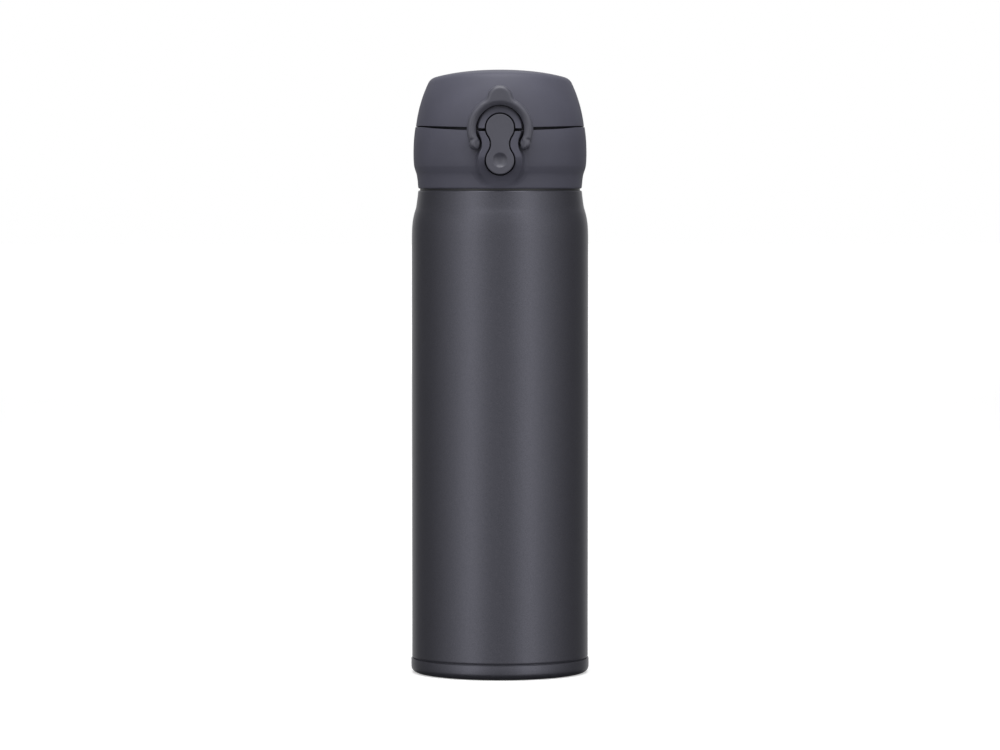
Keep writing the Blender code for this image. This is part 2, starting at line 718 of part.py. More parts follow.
# ------------------------------------------------------------------ button and lock ring
def make_open_button():
    outline = latch_outline(LOBE_RADIUS, BUTTON_WAIST)
    mesh = front_plate("open_button", outline, BUTTON_FACE_Y, BUTTON_BACK_Y)
    made = node("open_button", mesh, LATCH_PLASTIC)
    hole = cross_rod("button_hole", BUTTON_PIN_RADIUS + FIT_GAP, -REACH, REACH, BUTTON_PIN_Y, PIVOT_Z)
    ball = (DIMPLE_RADIUS**2 + DIMPLE_DEPTH**2) / (2 * DIMPLE_DEPTH)
    dimple = bpy.data.meshes.new("dimple")
    shape = bmesh.new()
    place = Matrix.Translation((0.0, BUTTON_FACE_Y + DIMPLE_DEPTH - ball, LOWER_LOBE_Z))
    place = place @ Matrix.Rotation(math.pi / 2, 4, "X")
    bmesh.ops.create_uvsphere(shape, u_segments=20, v_segments=20, radius=ball, matrix=place)
    shape.to_mesh(dimple)
    shape.free()
    seat_radius = BUTTON_SPRING_RADIUS + BUTTON_SPRING_WIRE + FIT_GAP
    seat = rod_mesh("spring_seat", seat_radius, (0.0, BUTTON_BACK_Y - 0.0013, LOWER_LOBE_Z),
                    (0.0, BUTTON_BACK_Y + 0.001, LOWER_LOBE_Z))
    cut(made, tool("button_hole", hole), tool("dimple", dimple), tool("spring_seat", seat))
    return made


def make_button_pin():
    reach = BEZEL_WAIST - 0.0007 - FIT_GAP
    mesh = cross_rod("button_pin", BUTTON_PIN_RADIUS, -reach, reach, BUTTON_PIN_Y, PIVOT_Z)
    return node("button_pin", mesh, SPRING_STEEL)


def make_button_spring():
    start_y = BUTTON_BACK_Y - 0.0013 + BUTTON_SPRING_WIRE + FIT_GAP
    end_y = POCKET_FLOOR_Y - BUTTON_SPRING_WIRE - FIT_GAP
    count = round(BUTTON_SPRING_TURNS * 10)
    points = []
    for index in range(count + 1):
        share = index / count
        angle = math.tau * share * BUTTON_SPRING_TURNS
        points.append((
            BUTTON_SPRING_RADIUS * math.cos(angle),
            start_y + (end_y - start_y) * share,
            LOWER_LOBE_Z + BUTTON_SPRING_RADIUS * math.sin(angle),
        ))
    return node("button_spring", wire_curve("button_spring", points, BUTTON_SPRING_WIRE, 1), SPRING_STEEL)


def make_lock_ring():
    """The ring that stands round the latch and locks it, hinged on two stubs at the bezel's waist."""
    centre_z = PIVOT_Z + RING_CENTRE_RISE
    tab_z = PIVOT_Z + RING_TAB_RISE - RING_TAB_RADIUS
    outline = two_lobes(centre_z, RING_RADIUS, tab_z, RING_TAB_RADIUS, RING_FILLET, 8)
    front_y = RING_BACK_Y - RING_THICKNESS
    made = node("lock_ring", front_plate("lock_ring", outline, front_y, RING_BACK_Y), LATCH_PLASTIC)
    bore = rod_mesh("ring_bore", RING_BORE, (0.0, -REACH, centre_z), (0.0, 0.0, centre_z), 32)
    clear = latch_outline(BEZEL_LOBE_RADIUS + FIT_GAP, BEZEL_WAIST + FIT_GAP)
    clear_plate = front_plate("ring_clearance", clear, -REACH, 0.0)
    below = box_mesh("below_ring", (-REACH, -REACH, 0.0), (REACH, 0.0, PIVOT_Z - RING_END_DROP))
    swing = BEZEL_LOBE_RADIUS + FIT_GAP
    swing_room = box_mesh("swing_room", (-swing, -REACH, 0.0), (swing, 0.0, PIVOT_Z + RING_SWING_HEIGHT))
    cut(made, tool("ring_bore", bore), tool("ring_clearance", clear_plate), tool("below_ring", below),
        tool("swing_room", swing_room))
    knuckle_in = BEZEL_WAIST + 0.00065
    for side in (-1, 1):
        low_x, high_x = sorted((side * knuckle_in, side * (RING_RADIUS - 0.0017)))
        knuckle = cross_rod("ring_knuckle", RING_KNUCKLE_RADIUS, low_x, high_x, RING_PIVOT_Y, PIVOT_Z, 20)
        join(made, tool("ring_knuckle", knuckle))
    for side in (-1, 1):
        low_x, high_x = sorted((side * (knuckle_in - 0.001), side * (BEZEL_WAIST + 0.0014 + FIT_GAP)))
        hole = cross_rod("stub_hole", RING_STUB_RADIUS + FIT_GAP, low_x, high_x, RING_PIVOT_Y, PIVOT_Z)
        cut(made, tool("stub_hole", hole))
    return made


# ------------------------------------------------------------------ lid
def lid_side_radius(height):
    """The lid's side is an arc that turns in towards the top."""
    centre = LID_BOTTOM - LID_SIDE_TURN_IN
    reach = math.sqrt(LID_SIDE_CURVE**2 - (height - centre) ** 2)
    return LID_RADIUS - math.sqrt(LID_SIDE_CURVE**2 - LID_SIDE_TURN_IN**2) + reach


def lid_outline():
    """The lid's outer curve from the top of its dome down to below the parting line."""
    corner_z = LID_BOTTOM + LID_CORNER_HEIGHT
    corner = lid_side_radius(corner_z) - 0.0006
    rise = LID_BOTTOM + LID_DOME_HEIGHT - corner_z
    dome = [(corner * share, corner_z + rise * (1 - share**2)) for share in (0.0, 0.3, 0.55, 0.8, 1.0)]
    heights = [LID_BOTTOM + LID_CORNER_HEIGHT * share for share in (0.93, 0.72, 0.48, 0.24, 0.0)]
    side = [(lid_side_radius(height), height) for height in heights]
    return [*dome, *side, (LID_RADIUS, LID_BOTTOM - 0.0035)]


def arch(mesh):
    """Raises the top of the lid towards its front and back, so that its top is arched from side to side."""
    start = LID_BOTTOM + LID_ARCH_START
    span = LID_CORNER_HEIGHT - LID_ARCH_START
    for vertex in mesh.vertices:
        share = min(max((vertex.co.z - start) / span, 0.0), 1.0)
        vertex.co.z += share * LID_ARCH * (vertex.co.y / (LID_RADIUS - 0.005)) ** 2


def make_lid_shell():
    outer = lid_outline()
    inner = offset_profile(outer, LID_WALL)
    profile = [*outer, (LID_RADIUS - LID_WALL, LID_BOTTOM - 0.0035), *reversed(inner[:-1])]
    guide = tool("lid_profile", profile_mesh("lid_profile", profile))
    turn(guide)
    mesh = evaluated_mesh(guide)
    arch(mesh)
    made = node("lid_shell", mesh, CAP_PLASTIC)

    boss_outline = latch_outline(BEZEL_LOBE_RADIUS, BEZEL_WAIST)
    boss = front_plate("boss", boss_outline, BOSS_FACE_Y, -LID_RADIUS + LID_WALL * 0.9)
    pocket_outline = latch_outline(LOBE_RADIUS + BUTTON_GAP, BUTTON_WAIST + BUTTON_GAP)
    pocket = front_plate("boss_pocket", pocket_outline, -REACH, BUTTON_BACK_Y + 0.0006)
    join(made, tool("boss", boss))
    cut(made, parting_step("below_lid", FIT_GAP, False), tool("boss_pocket", pocket))
    add_knuckle(made)
    return made


def add_knuckle(lid):
    """The lid's half of the hinge: one wide knuckle that holds the spring, on a web from the lid's back."""
    low_y = LID_RADIUS - LID_WALL * 0.8
    knuckle = [(low_y, HINGE_Z + 0.0072), (low_y, HINGE_Z + 0.0006)]
    knuckle += arc((HINGE_Y, HINGE_Z), KNUCKLE_RADIUS, math.radians(168), math.radians(420), 16)
    half = KNUCKLE_HALF_WIDTH
    pocket = SPRING_POCKET_HALF_WIDTH
    join(lid, tool("knuckle", side_plate("knuckle", knuckle, -half, half)))
    pocket_radius = LID_SPRING_RADIUS + LID_SPRING_WIRE + FIT_GAP
    cut(lid, tool("lid_pin_hole", cross_rod(
        "lid_pin_hole", HINGE_PIN_RADIUS + FIT_GAP, -half - 0.001, half + 0.001, HINGE_Y, HINGE_Z)))
    cut(lid, tool("spring_pocket", cross_rod("spring_pocket", pocket_radius, -pocket, pocket, HINGE_Y, HINGE_Z, 20)))
    leg_y = HINGE_Y - 0.0024 - FIT_GAP
    inset = 0.0001
    fixed_leg = box_mesh("fixed_leg_slot", (-pocket + inset, HINGE_Y - 0.004, HINGE_Z - 0.0034),
                         (-pocket + 0.0013, HINGE_Y + 0.0005, HINGE_Z - 0.0003))
    lid_leg = box_mesh("lid_leg_slot", (pocket - 0.0013, leg_y, HINGE_Z + 0.0010),
                       (pocket - inset, HINGE_Y, HINGE_Z + LID_SPRING_RADIUS + 0.0006))
    cut(lid, tool("fixed_leg_slot", fixed_leg), tool("lid_leg_slot", lid_leg))


def make_lid_liner():
    """The inner moulding that holds the lid's gasket over the spout."""
    skirt_low = LID_BOTTOM + 0.0007
    skirt = [
        (lid_side_radius(height) - LID_WALL - 0.0005, height)
        for height in (LINER_TOP - 0.0016, LINER_TOP - 0.0060, skirt_low)
    ]
    roof = LINER_TOP - LINER_WALL
    seat = SPOUT_TOP + FIT_GAP + LID_GASKET_HEIGHT + FIT_GAP
    holder_in = SPOUT_RADIUS + SPOUT_LIP + 0.0020
    holder_out = holder_in + LINER_WALL
    outer = [(0.0, LINER_TOP), (skirt[0][0] - 0.0020, LINER_TOP), *skirt]
    inner = [(radius - LINER_WALL, height) for radius, height in reversed(skirt[1:])]
    inner += [(skirt[0][0] - 0.0030, roof), (holder_out, roof), (holder_out, SPOUT_TOP - 0.0004)]
    inner += [(holder_in, SPOUT_TOP - 0.0004), (holder_in, seat), (0.0, seat)]
    return turned("lid_liner", outer + inner, INNER_PLASTIC)


def make_lid_gasket():
    middle = SPOUT_RADIUS
    low = SPOUT_TOP + FIT_GAP
    high = low + LID_GASKET_HEIGHT
    outside = middle + LID_GASKET_WIDTH / 2
    inside = middle - LID_GASKET_WIDTH / 2
    profile = [(outside, high), (outside, low + 0.0006), (outside - 0.0008, low), (inside + 0.0008, low),
               (inside, low + 0.0006), (inside, high)]
    return turned("lid_gasket", profile, SILICONE)


def set_joint_origins():
    """Puts each moving piece's origin on its joint's axis, with its shape left where it is."""
    origins = {
        "open_button": (0.0, BUTTON_PIN_Y, PIVOT_Z),
        "lock_ring": (0.0, RING_PIVOT_Y, PIVOT_Z),
        "lid_shell": (0.0, HINGE_Y, HINGE_Z),
    }
    for name, place in origins.items():
        piece = bpy.data.objects[name]
        piece.data.transform(Matrix.Translation(-Vector(place)))
        piece.location = place


make_outer_shell()
make_inner_vessel()
make_inner_base()
make_radiation_foil()
make_outer_base()
make_evacuation_seal()
make_getter()
make_stopper_gasket()
make_spout_insert()
make_stopper_cover()
make_hinge_pin()
make_lid_spring()
make_open_button()
make_button_pin()
make_button_spring()
make_lock_ring()
make_lid_shell()
make_lid_liner()
make_lid_gasket()
set_joint_origins()
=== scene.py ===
import json
import math

import bmesh
import bpy
import numpy as np
from mathutils import Matrix, Vector


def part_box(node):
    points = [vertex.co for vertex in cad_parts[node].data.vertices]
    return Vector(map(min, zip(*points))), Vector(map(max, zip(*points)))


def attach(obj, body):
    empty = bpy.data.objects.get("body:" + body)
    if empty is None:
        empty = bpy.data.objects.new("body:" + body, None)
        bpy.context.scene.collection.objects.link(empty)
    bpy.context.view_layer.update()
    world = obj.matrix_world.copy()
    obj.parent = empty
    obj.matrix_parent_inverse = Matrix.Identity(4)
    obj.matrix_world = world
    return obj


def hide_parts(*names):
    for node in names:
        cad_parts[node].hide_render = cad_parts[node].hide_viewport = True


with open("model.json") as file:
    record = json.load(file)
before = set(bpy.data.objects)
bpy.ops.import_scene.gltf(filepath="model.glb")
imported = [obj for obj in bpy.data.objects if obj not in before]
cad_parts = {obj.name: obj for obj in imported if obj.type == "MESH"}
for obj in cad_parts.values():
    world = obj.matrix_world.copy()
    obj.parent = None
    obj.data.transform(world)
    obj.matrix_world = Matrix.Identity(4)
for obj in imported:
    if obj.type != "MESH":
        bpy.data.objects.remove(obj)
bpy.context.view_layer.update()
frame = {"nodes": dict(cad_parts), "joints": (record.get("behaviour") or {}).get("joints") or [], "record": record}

MM = 0.001
SPIN_STEPS = 192

# ---------- places taken from the frame
shell_low, shell_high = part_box("outer_shell")
cover_low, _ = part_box("stopper_cover")
_, lid_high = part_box("lid_shell")
liner_low, liner_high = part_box("lid_liner")
insert_low, insert_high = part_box("spout_insert")
vessel_low, vessel_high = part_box("inner_vessel")
button_low, button_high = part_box("open_button")
ring_low, ring_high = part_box("lock_ring")
joints = {joint["name"]: joint for joint in frame["joints"]}

JOINT_Z = shell_high.z
BARREL_RADIUS = shell_high.x
CAP_BOTTOM_Z = cover_low.z
PARTING_Z = Vector(joints["lid_hinge"]["pos_m"]).z - 0.1 * MM
LID_TOP_Z = lid_high.z
PIVOT_Z = joints["ring_hinge"]["pos_m"][2]
HINGE_Y = joints["lid_hinge"]["pos_m"][1]
HINGE_Z = joints["lid_hinge"]["pos_m"][2]
BUTTON_FACE_Y = button_low.y
BUTTON_BACK_Y = button_high.y
BUTTON_PIN_Y = joints["button_rocker"]["pos_m"][1]
RING_PIVOT_Y = joints["ring_hinge"]["pos_m"][1]
RING_FRONT_Y = ring_low.y
RING_BACK_Y = ring_high.y - 2.2 * MM

# Latch outline: two round lobes and a waist between them
LOBE_SPACING = 11.55 * MM
UPPER_LOBE_Z = PIVOT_Z + LOBE_SPACING / 2
LOWER_LOBE_Z = PIVOT_Z - LOBE_SPACING / 2
BUTTON_LOBE = 5.05 * MM
BUTTON_WAIST = 3.25 * MM
BUTTON_GAP = 0.4 * MM
BEZEL_LOBE = 7.88 * MM
BEZEL_WAIST = 6.6 * MM
BEZEL_FACE_Y = BUTTON_FACE_Y + 0.3 * MM
BOSS_FACE_Y = BUTTON_FACE_Y + 0.2 * MM
POCKET_FLOOR_Y = BUTTON_FACE_Y + 6.3 * MM
BOSS_POCKET_Y = BUTTON_BACK_Y + 0.6 * MM
MOAT_WIDTH = 0.85 * MM
MOAT_DEPTH = 1.1 * MM

# Parting line: level at the back, falling towards the latch
PARTING_FALL = 0.081
PARTING_TURN_Y = -11 * MM
PARTING_SOFTNESS = 2 * MM
LID_GAP = 0.15 * MM
FRONT_GAP = 1.0 * MM

THREAD_LEAD = 9 * MM
THREAD_RIDGE = 0.8 * MM
THREAD_STARTS = 2
THREAD_TURNS = 0.55


def parting(y):
    """The height of the stopper cover's upper edge."""
    ahead = PARTING_TURN_Y - y
    return PARTING_Z - PARTING_FALL * (np.sqrt(ahead**2 + PARTING_SOFTNESS**2) + ahead) / 2


def lid_floor(y):
    """The height of the lid's lower edge: the gap under it widens towards the latch."""
    share = np.clip((-4 * MM - y) / (26 * MM), 0.0, 1.0)
    return parting(y) + LID_GAP + (FRONT_GAP - LID_GAP) * share * share * (3 - 2 * share)


# ---------- materials
def new_material(name):
    made = bpy.data.materials.new(name)
    made.use_nodes = True
    tree = made.node_tree
    return made, tree, tree.nodes["Principled BSDF"]


def add_node(tree, kind, inputs=None, **settings):
    made = tree.nodes.new(kind)
    for key, setting in settings.items():
        setattr(made, key, setting)
    for key, wanted in (inputs or {}).items():
        if isinstance(wanted, bpy.types.NodeSocket):
            tree.links.new(wanted, made.inputs[key])
        else:
            made.inputs[key].default_value = wanted
    return made


def object_place(tree):
    return tree.nodes.new("ShaderNodeTexCoord").outputs["Object"]


def noise(tree, place, scale, detail=2.0, roughness=0.5):
    made = add_node(tree, "ShaderNodeTexNoise", {
        "Vector": place, "Scale": scale, "Detail": detail, "Roughness": roughness})
    return made.outputs["Fac"]


def ramp(tree, factor, low, high, start=0.0, end=1.0):
    """Two colours across a factor."""
    made = add_node(tree, "ShaderNodeValToRGB", {"Fac": factor})
    first, last = made.color_ramp.elements
    first.position, first.color = start, (*low, 1.0)
    last.position, last.color = end, (*high, 1.0)
    return made.outputs["Color"]


def spread(tree, factor, low, high):
    made = add_node(tree, "ShaderNodeMapRange", {"Value": factor, "To Min": low, "To Max": high})
    return made.outputs["Result"]


def bump(tree, height, strength, distance, normal=None):
    inputs = {"Height": height, "Strength": strength, "Distance": distance}
    if normal:
        inputs["Normal"] = normal
    return add_node(tree, "ShaderNodeBump", inputs).outputs["Normal"]


def shade(colour, amount):
    return tuple(channel * amount for channel in colour)


def feed(tree, shader, colour, roughness, normal):
    for name, source in (("Base Color", colour), ("Roughness", roughness), ("Normal", normal)):
        tree.links.new(source, shader.inputs[name])


def moulded_plastic(name, colour, roughness, grain, specular=0.5):
    """Plastic with a spark-eroded grain, a little flow mottling and uneven gloss, with painted shade that darkens
    its recesses.
    """
    made, tree, shader = new_material(name)
    place = object_place(tree)
    mottle = noise(tree, place, 90.0, 3.0)
    fine = noise(tree, place, 2600.0, 2.0, 0.6)
    tint = ramp(tree, mottle, shade(colour, 0.95), shade(colour, 1.05), 0.3, 0.7)
    # Painted shade: ambient occlusion darkens the base colour in recesses, creases and the gaps between parts
    occlusion_for_painted_shade = add_node(tree, "ShaderNodeAmbientOcclusion", {"Distance": 5 * MM}).outputs["AO"]
    recess_painted_shade = ramp(tree, occlusion_for_painted_shade, (0.2, 0.2, 0.2), (1.0, 1.0, 1.0), 0.2, 0.85)
    factor_in, first_in, second_in, colour_out = 0, 6, 7, 2
    # The painted shade is multiplied into the mottled colour
    mixed = add_node(tree, "ShaderNodeMix", {factor_in: 1.0, first_in: tint, second_in: recess_painted_shade},
                     data_type="RGBA", blend_type="MULTIPLY")
    feed(tree, shader, mixed.outputs[colour_out], spread(tree, fine, roughness - 0.04, roughness + 0.04),
         bump(tree, fine, grain, 0.00004))
    shader.inputs["Specular IOR Level"].default_value = specular
    return made


def metallic_paint(name, colour, roughness):
    """Satin paint with fine metal flakes and a slight orange peel."""
    made, tree, shader = new_material(name)
    place = object_place(tree)
    flakes = add_node(tree, "ShaderNodeTexVoronoi", {"Vector": place, "Scale": 4200.0}).outputs["Distance"]
    sparkle = noise(tree, place, 5200.0, 1.0)
    peel = noise(tree, place, 420.0, 2.0)
    tint = ramp(tree, sparkle, shade(colour, 0.82), shade(colour, 1.22), 0.35, 0.7)
    soft = bump(tree, peel, 0.05, 0.00005)
    feed(tree, shader, tint, spread(tree, flakes, roughness - 0.05, roughness + 0.06),
         bump(tree, flakes, 0.12, 0.00002, soft))
    shader.inputs["Metallic"].default_value = 0.75
    shader.inputs["Coat Weight"].default_value = 0.25
    shader.inputs["Coat Roughness"].default_value = 0.3
    return made


def bright_steel(name, colour, roughness, around=True):
    """Steel with fine spinning marks that run round the axis."""
    made, tree, shader = new_material(name)
    place = object_place(tree)
    scale = (60.0, 60.0, 5200.0) if around else (900.0, 900.0, 900.0)
    stretched = add_node(tree, "ShaderNodeMapping", {"Vector": place, "Scale": scale}).outputs["Vector"]
    marks = noise(tree, stretched, 1.0, 3.0, 0.6)
    tint = ramp(tree, marks, shade(colour, 0.85), shade(colour, 1.08), 0.3, 0.7)
    feed(tree, shader, tint, spread(tree, marks, roughness - 0.07, roughness + 0.07),
         bump(tree, marks, 0.08, 0.00002))
    shader.inputs["Metallic"].default_value = 1.0
    return made


def silicone(name, colour):
    """Translucent rubber with a fine dusty surface."""
    made, tree, shader = new_material(name)
    place = object_place(tree)
    dust = noise(tree, place, 700.0, 4.0)
    tint = ramp(tree, dust, shade(colour, 0.93), shade(colour, 1.03), 0.3, 0.7)
    feed(tree, shader, tint, spread(tree, dust, 0.42, 0.58), bump(tree, dust, 0.1, 0.00003))
    shader.inputs["Subsurface Weight"].default_value = 0.15
    shader.inputs["Subsurface Radius"].default_value = (0.002, 0.002, 0.002)
    return made


def crinkled_foil(name, colour):
    """Metal foil with sharp creases."""
    made, tree, shader = new_material(name)
    place = object_place(tree)
    crinkle = add_node(tree, "ShaderNodeTexVoronoi", {"Vector": place, "Scale": 260.0}).outputs["Distance"]
    tint = ramp(tree, crinkle, shade(colour, 0.9), colour)
    feed(tree, shader, tint, spread(tree, crinkle, 0.15, 0.3), bump(tree, crinkle, 0.4, 0.0003))
    shader.inputs["Metallic"].default_value = 1.0
    return made


BODY_PAINT = metallic_paint("body_paint", (0.090, 0.090, 0.112), 0.34)
CAP_PLASTIC = moulded_plastic("cap_plastic", (0.097, 0.097, 0.129), 0.52, 0.10, 0.28)
LATCH_PLASTIC = moulded_plastic("latch_plastic", (0.088, 0.088, 0.112), 0.38, 0.2)
INNER_PLASTIC = moulded_plastic("inner_plastic", (0.030, 0.030, 0.033), 0.38, 0.12)
STEEL = bright_steel("inner_steel", (0.62, 0.62, 0.63), 0.26)
WIRE_STEEL = bright_steel("wire_steel", (0.66, 0.66, 0.68), 0.2, False)
DARK_STEEL = bright_steel("dark_steel", (0.05, 0.05, 0.055), 0.35, False)
SEAL_RUBBER = silicone("seal_rubber", (0.62, 0.62, 0.60))
FOIL = crinkled_foil("foil", (0.85, 0.85, 0.86))


# ---------- mesh helpers
def add_object(name, mesh, finish):
    made = bpy.data.objects.new(name, mesh)
    bpy.context.scene.collection.objects.link(made)
    mesh.materials.clear()
    mesh.materials.append(finish)
    return made


def smooth(obj, angle=38.0):
    obj.data.shade_smooth()
    obj.data.set_sharp_from_angle(angle=math.radians(angle))
    return obj


def curve_through(points, per_span=6):
    """A smooth curve through a few points: a centripetal Catmull-Rom spline."""
    points = [np.array(point, float) for point in points]
    ends = [2 * points[0] - points[1], *points, 2 * points[-1] - points[-2]]
    curve = []
    for index in range(len(points) - 1):
        a, b, c, d = ends[index : index + 4]
        knots = np.cumsum([0.0, *(np.linalg.norm(q - p) ** 0.5 for p, q in ((a, b), (b, c), (c, d)))])
        for share in np.arange(per_span) / per_span:
            t = knots[1] + (knots[2] - knots[1]) * share
            first = [
                (p * (knots[i + 1] - t) + q * (t - knots[i])) / (knots[i + 1] - knots[i])
                for i, (p, q) in enumerate(((a, b), (b, c), (c, d)))
            ]
            second = [
                (first[i] * (knots[i + 2] - t) + first[i + 1] * (t - knots[i])) / (knots[i + 2] - knots[i])
                for i in range(2)
            ]
            point = (second[0] * (knots[2] - t) + second[1] * (t - knots[1])) / (knots[2] - knots[1])
            curve.append(tuple(point))
    return [*curve, tuple(points[-1])]


def rounded(corners, per_corner=4):
    """A closed profile from (radius, height, rounding in mm) corners."""
    made = []
    count = len(corners)
    for index, (radius, height, rounding) in enumerate(corners):
        if not rounding:
            made.append((radius, height))
            continue
        here = Vector((radius, height))
        back = Vector(corners[index - 1][:2]) - here
        ahead = Vector(corners[(index + 1) % count][:2]) - here
        reach = min(rounding * MM, back.length * 0.45, ahead.length * 0.45)
        start = here + back.normalized() * reach
        end = here + ahead.normalized() * reach
        for step in range(per_corner + 1):
            share = step / per_corner
            made.append(tuple(start * (1 - share) ** 2 + here * 2 * share * (1 - share) + end * share**2))
    return made


def ring_point(radius, share):
    """A point on a circle round the axis, by the share of a full turn."""
    return radius * math.cos(math.tau * share), radius * math.sin(math.tau * share)


def mesh_from(name, points, faces):
    mesh = bpy.data.meshes.new(name)
    mesh.from_pydata(points, [], faces)
    return mesh


def spun_mesh(name, profile, steps=SPIN_STEPS, closed=True):
    """A solid of revolution from (radius, height) points that run down the outer side."""
    mesh = bpy.data.meshes.new(name)
    shape = bmesh.new()
    rings = []
    for radius, height in profile:
        count = 1 if radius < 1e-7 else steps
        rings.append([shape.verts.new((*ring_point(radius, step / steps), height)) for step in range(count)])
    pairs = list(zip(rings, rings[1:] + (rings[:1] if closed else [])))
    for upper, lower in pairs:
        for step in range(steps):
            after = (step + 1) % steps
            corners = [upper[step % len(upper)], lower[step % len(lower)]]
            if len(lower) > 1:
                corners.append(lower[after])
            if len(upper) > 1:
                corners.append(upper[after])
            if len(corners) > 2:
                shape.faces.new(corners)
    bmesh.ops.recalc_face_normals(shape, faces=shape.faces)
    shape.to_mesh(mesh)
    shape.free()
    return mesh


def spun(name, profile, finish, steps=SPIN_STEPS, closed=True):
    return smooth(add_object(name, spun_mesh(name, profile, steps, closed), finish))


def wire_mesh(name, points, radius, sizes=None):
    """A round wire along a line of points, which may be thinner in places."""
    curve = bpy.data.curves.new(name, "CURVE")
    curve.dimensions = "3D"
    curve.bevel_depth = radius
    curve.bevel_resolution = 5
    curve.use_fill_caps = True
    spline = curve.splines.new("POLY")
    spline.points.add(len(points) - 1)
    for point, place, size in zip(spline.points, points, sizes or [1.0] * len(points)):
        point.co = (*place, 1.0)
        point.radius = size
    holder = bpy.data.objects.new(name, curve)
    bpy.context.scene.collection.objects.link(holder)
    graph = bpy.context.evaluated_depsgraph_get()
    mesh = bpy.data.meshes.new_from_object(holder.evaluated_get(graph))
    bpy.data.objects.remove(holder)
    return mesh


def combine(obj, other_mesh, operation):
    """A Boolean with a mesh that isn't kept, applied straight away."""
    helper = bpy.data.objects.new("helper", other_mesh)
    bpy.context.scene.collection.objects.link(helper)
    made = obj.modifiers.new("combine", "BOOLEAN")
    made.operation = operation
    made.object = helper
    made.solver = "EXACT"
    graph = bpy.context.evaluated_depsgraph_get()
    result = bpy.data.meshes.new_from_object(obj.evaluated_get(graph))
    obj.modifiers.clear()
    finish = obj.data.materials[0]
    obj.data = result
    result.materials.clear()
    result.materials.append(finish)
    result.polygons.foreach_set("material_index", [0] * len(result.polygons))
    bpy.data.objects.remove(helper)
    return smooth(obj)


# ---------- shapes from distance fields
def surface_net(name, field, low, high, step):
    """The mesh of a field's zero surface: one point for each cell that the surface crosses."""
    sides = [np.arange(start, end + step, step) for start, end in zip(low, high)]
    grid = np.stack(np.meshgrid(*sides, indexing="ij"), -1)
    value = field(grid)
    inside = value < 0
    cells = tuple(size - 1 for size in value.shape)
    total = np.zeros((*cells, 3))
    hits = np.zeros(cells)
    offsets = [(i, j, k) for i in (0, 1) for j in (0, 1) for k in (0, 1)]

    def corner(array, offset):
        return array[tuple(slice(start, start + size) for start, size in zip(offset, cells))]

    for first in offsets:
        for axis in range(3):
            if first[axis]:
                continue
            second = tuple(offset + (index == axis) for index, offset in enumerate(first))
            a, b = corner(value, first), corner(value, second)
            crosses = corner(inside, first) != corner(inside, second)
            share = np.where(crosses, a / np.where(crosses, a - b, 1.0), 0.0)
            point = corner(grid, first).copy()
            point[..., axis] += share * step
            total += np.where(crosses[..., None], point, 0.0)
            hits += crosses
    active = hits > 0
    index = np.full(cells, -1)
    index[active] = np.arange(active.sum())
    points = total[active] / hits[active][:, None]
    for _ in range(3):
        points = pull_to_surface(field, points, step)
    faces = []
    for axis in range(3):
        side, other = (axis + 1) % 3, (axis + 2) % 3
        ahead = np.roll(inside, -1, axis)
        crossing = inside != ahead
        trim = [slice(1, cells[n]) for n in range(3)]
        trim[axis] = slice(0, cells[axis])
        mask = np.zeros_like(crossing)
        mask[tuple(trim)] = crossing[tuple(trim)]
        spots = np.argwhere(mask)
        outward = inside[tuple(spots.T)]

        def cell(step_side, step_other):
            moved = spots.copy()
            moved[:, side] -= step_side
            moved[:, other] -= step_other
            return index[tuple(moved.T)]

        quads = np.stack([cell(1, 1), cell(0, 1), cell(0, 0), cell(1, 0)], -1)
        quads[~outward] = quads[~outward][:, ::-1]
        faces.append(quads)
    mesh = mesh_from(name, points.tolist(), np.concatenate(faces).tolist())
    mesh.validate()
    return mesh


def pull_to_surface(field, points, step):
    """One Newton step of each point towards the field's zero surface."""
    here = field(points)
    slope = np.zeros_like(points)
    nudge = step * 0.1
    for axis in range(3):
        moved = points.copy()
        moved[:, axis] += nudge
        slope[:, axis] = (field(moved) - here) / nudge
    length = np.maximum((slope**2).sum(-1), 0.05)
    change = -(here / length)[:, None] * slope
    return points + np.clip(change, -step * 0.5, step * 0.5)


def smooth_min(a, b, width):
    """The union of two fields, with a soft fillet where they meet."""
    share = np.maximum(width - np.abs(a - b), 0.0) / width
    return np.minimum(a, b) - share**2 * width / 4


def smooth_max(a, b, width):
    return -smooth_min(-a, -b, width)


def lobes_distance(x, z, low_z, low_radius, high_z, high_radius, fillet):
    """Distance in X and Z to two round lobes blended by concave arcs."""
    across = np.abs(x)
    apart = high_z - low_z
    reach_low = low_radius + fillet
    reach_high = high_radius + fillet
    rise = (apart**2 + reach_low**2 - reach_high**2) / (2 * apart)
    side = math.sqrt(reach_low**2 - rise**2)
    centre_z = low_z + rise
    lower = np.hypot(across, z - low_z) - low_radius
    upper = np.hypot(across, z - high_z) - high_radius
    from_x, from_z = across - side, z - centre_z
    under = -side * from_z - (low_z - centre_z) * from_x
    over = -side * from_z - (high_z - centre_z) * from_x
    between = (under < 0) & (over > 0) & (from_x < 0)
    return np.where(between, fillet - np.hypot(from_x, from_z), np.minimum(lower, upper))


def latch_distance(x, z, lobe, waist):
    """Distance in X and Z to the latch's outline, grown to a lobe radius and a half waist."""
    fillet = (lobe**2 - waist**2 - (LOBE_SPACING / 2) ** 2) / (2 * (waist - lobe))
    return lobes_distance(x, z, LOWER_LOBE_Z, lobe, UPPER_LOBE_Z, lobe, fillet)


def slab(outline, depth, round_edge):
    """A plate from an outline's distance and the distance to its two faces, with rounded edges."""
    over = np.maximum(outline + round_edge, 0.0)
    past = np.maximum(depth + round_edge, 0.0)
    return np.minimum(np.maximum(outline, depth) + round_edge, 0.0) + np.hypot(over, past) - round_edge


def rod_distance(p, radius, low_x, high_x, y, z, round_edge):
    """Distance to a rod along X."""
    middle, half = (low_x + high_x) / 2, (high_x - low_x) / 2
    from_side = np.hypot(p[..., 1] - y, p[..., 2] - z) - radius
    return slab(from_side, np.abs(p[..., 0] - middle) - half, round_edge)


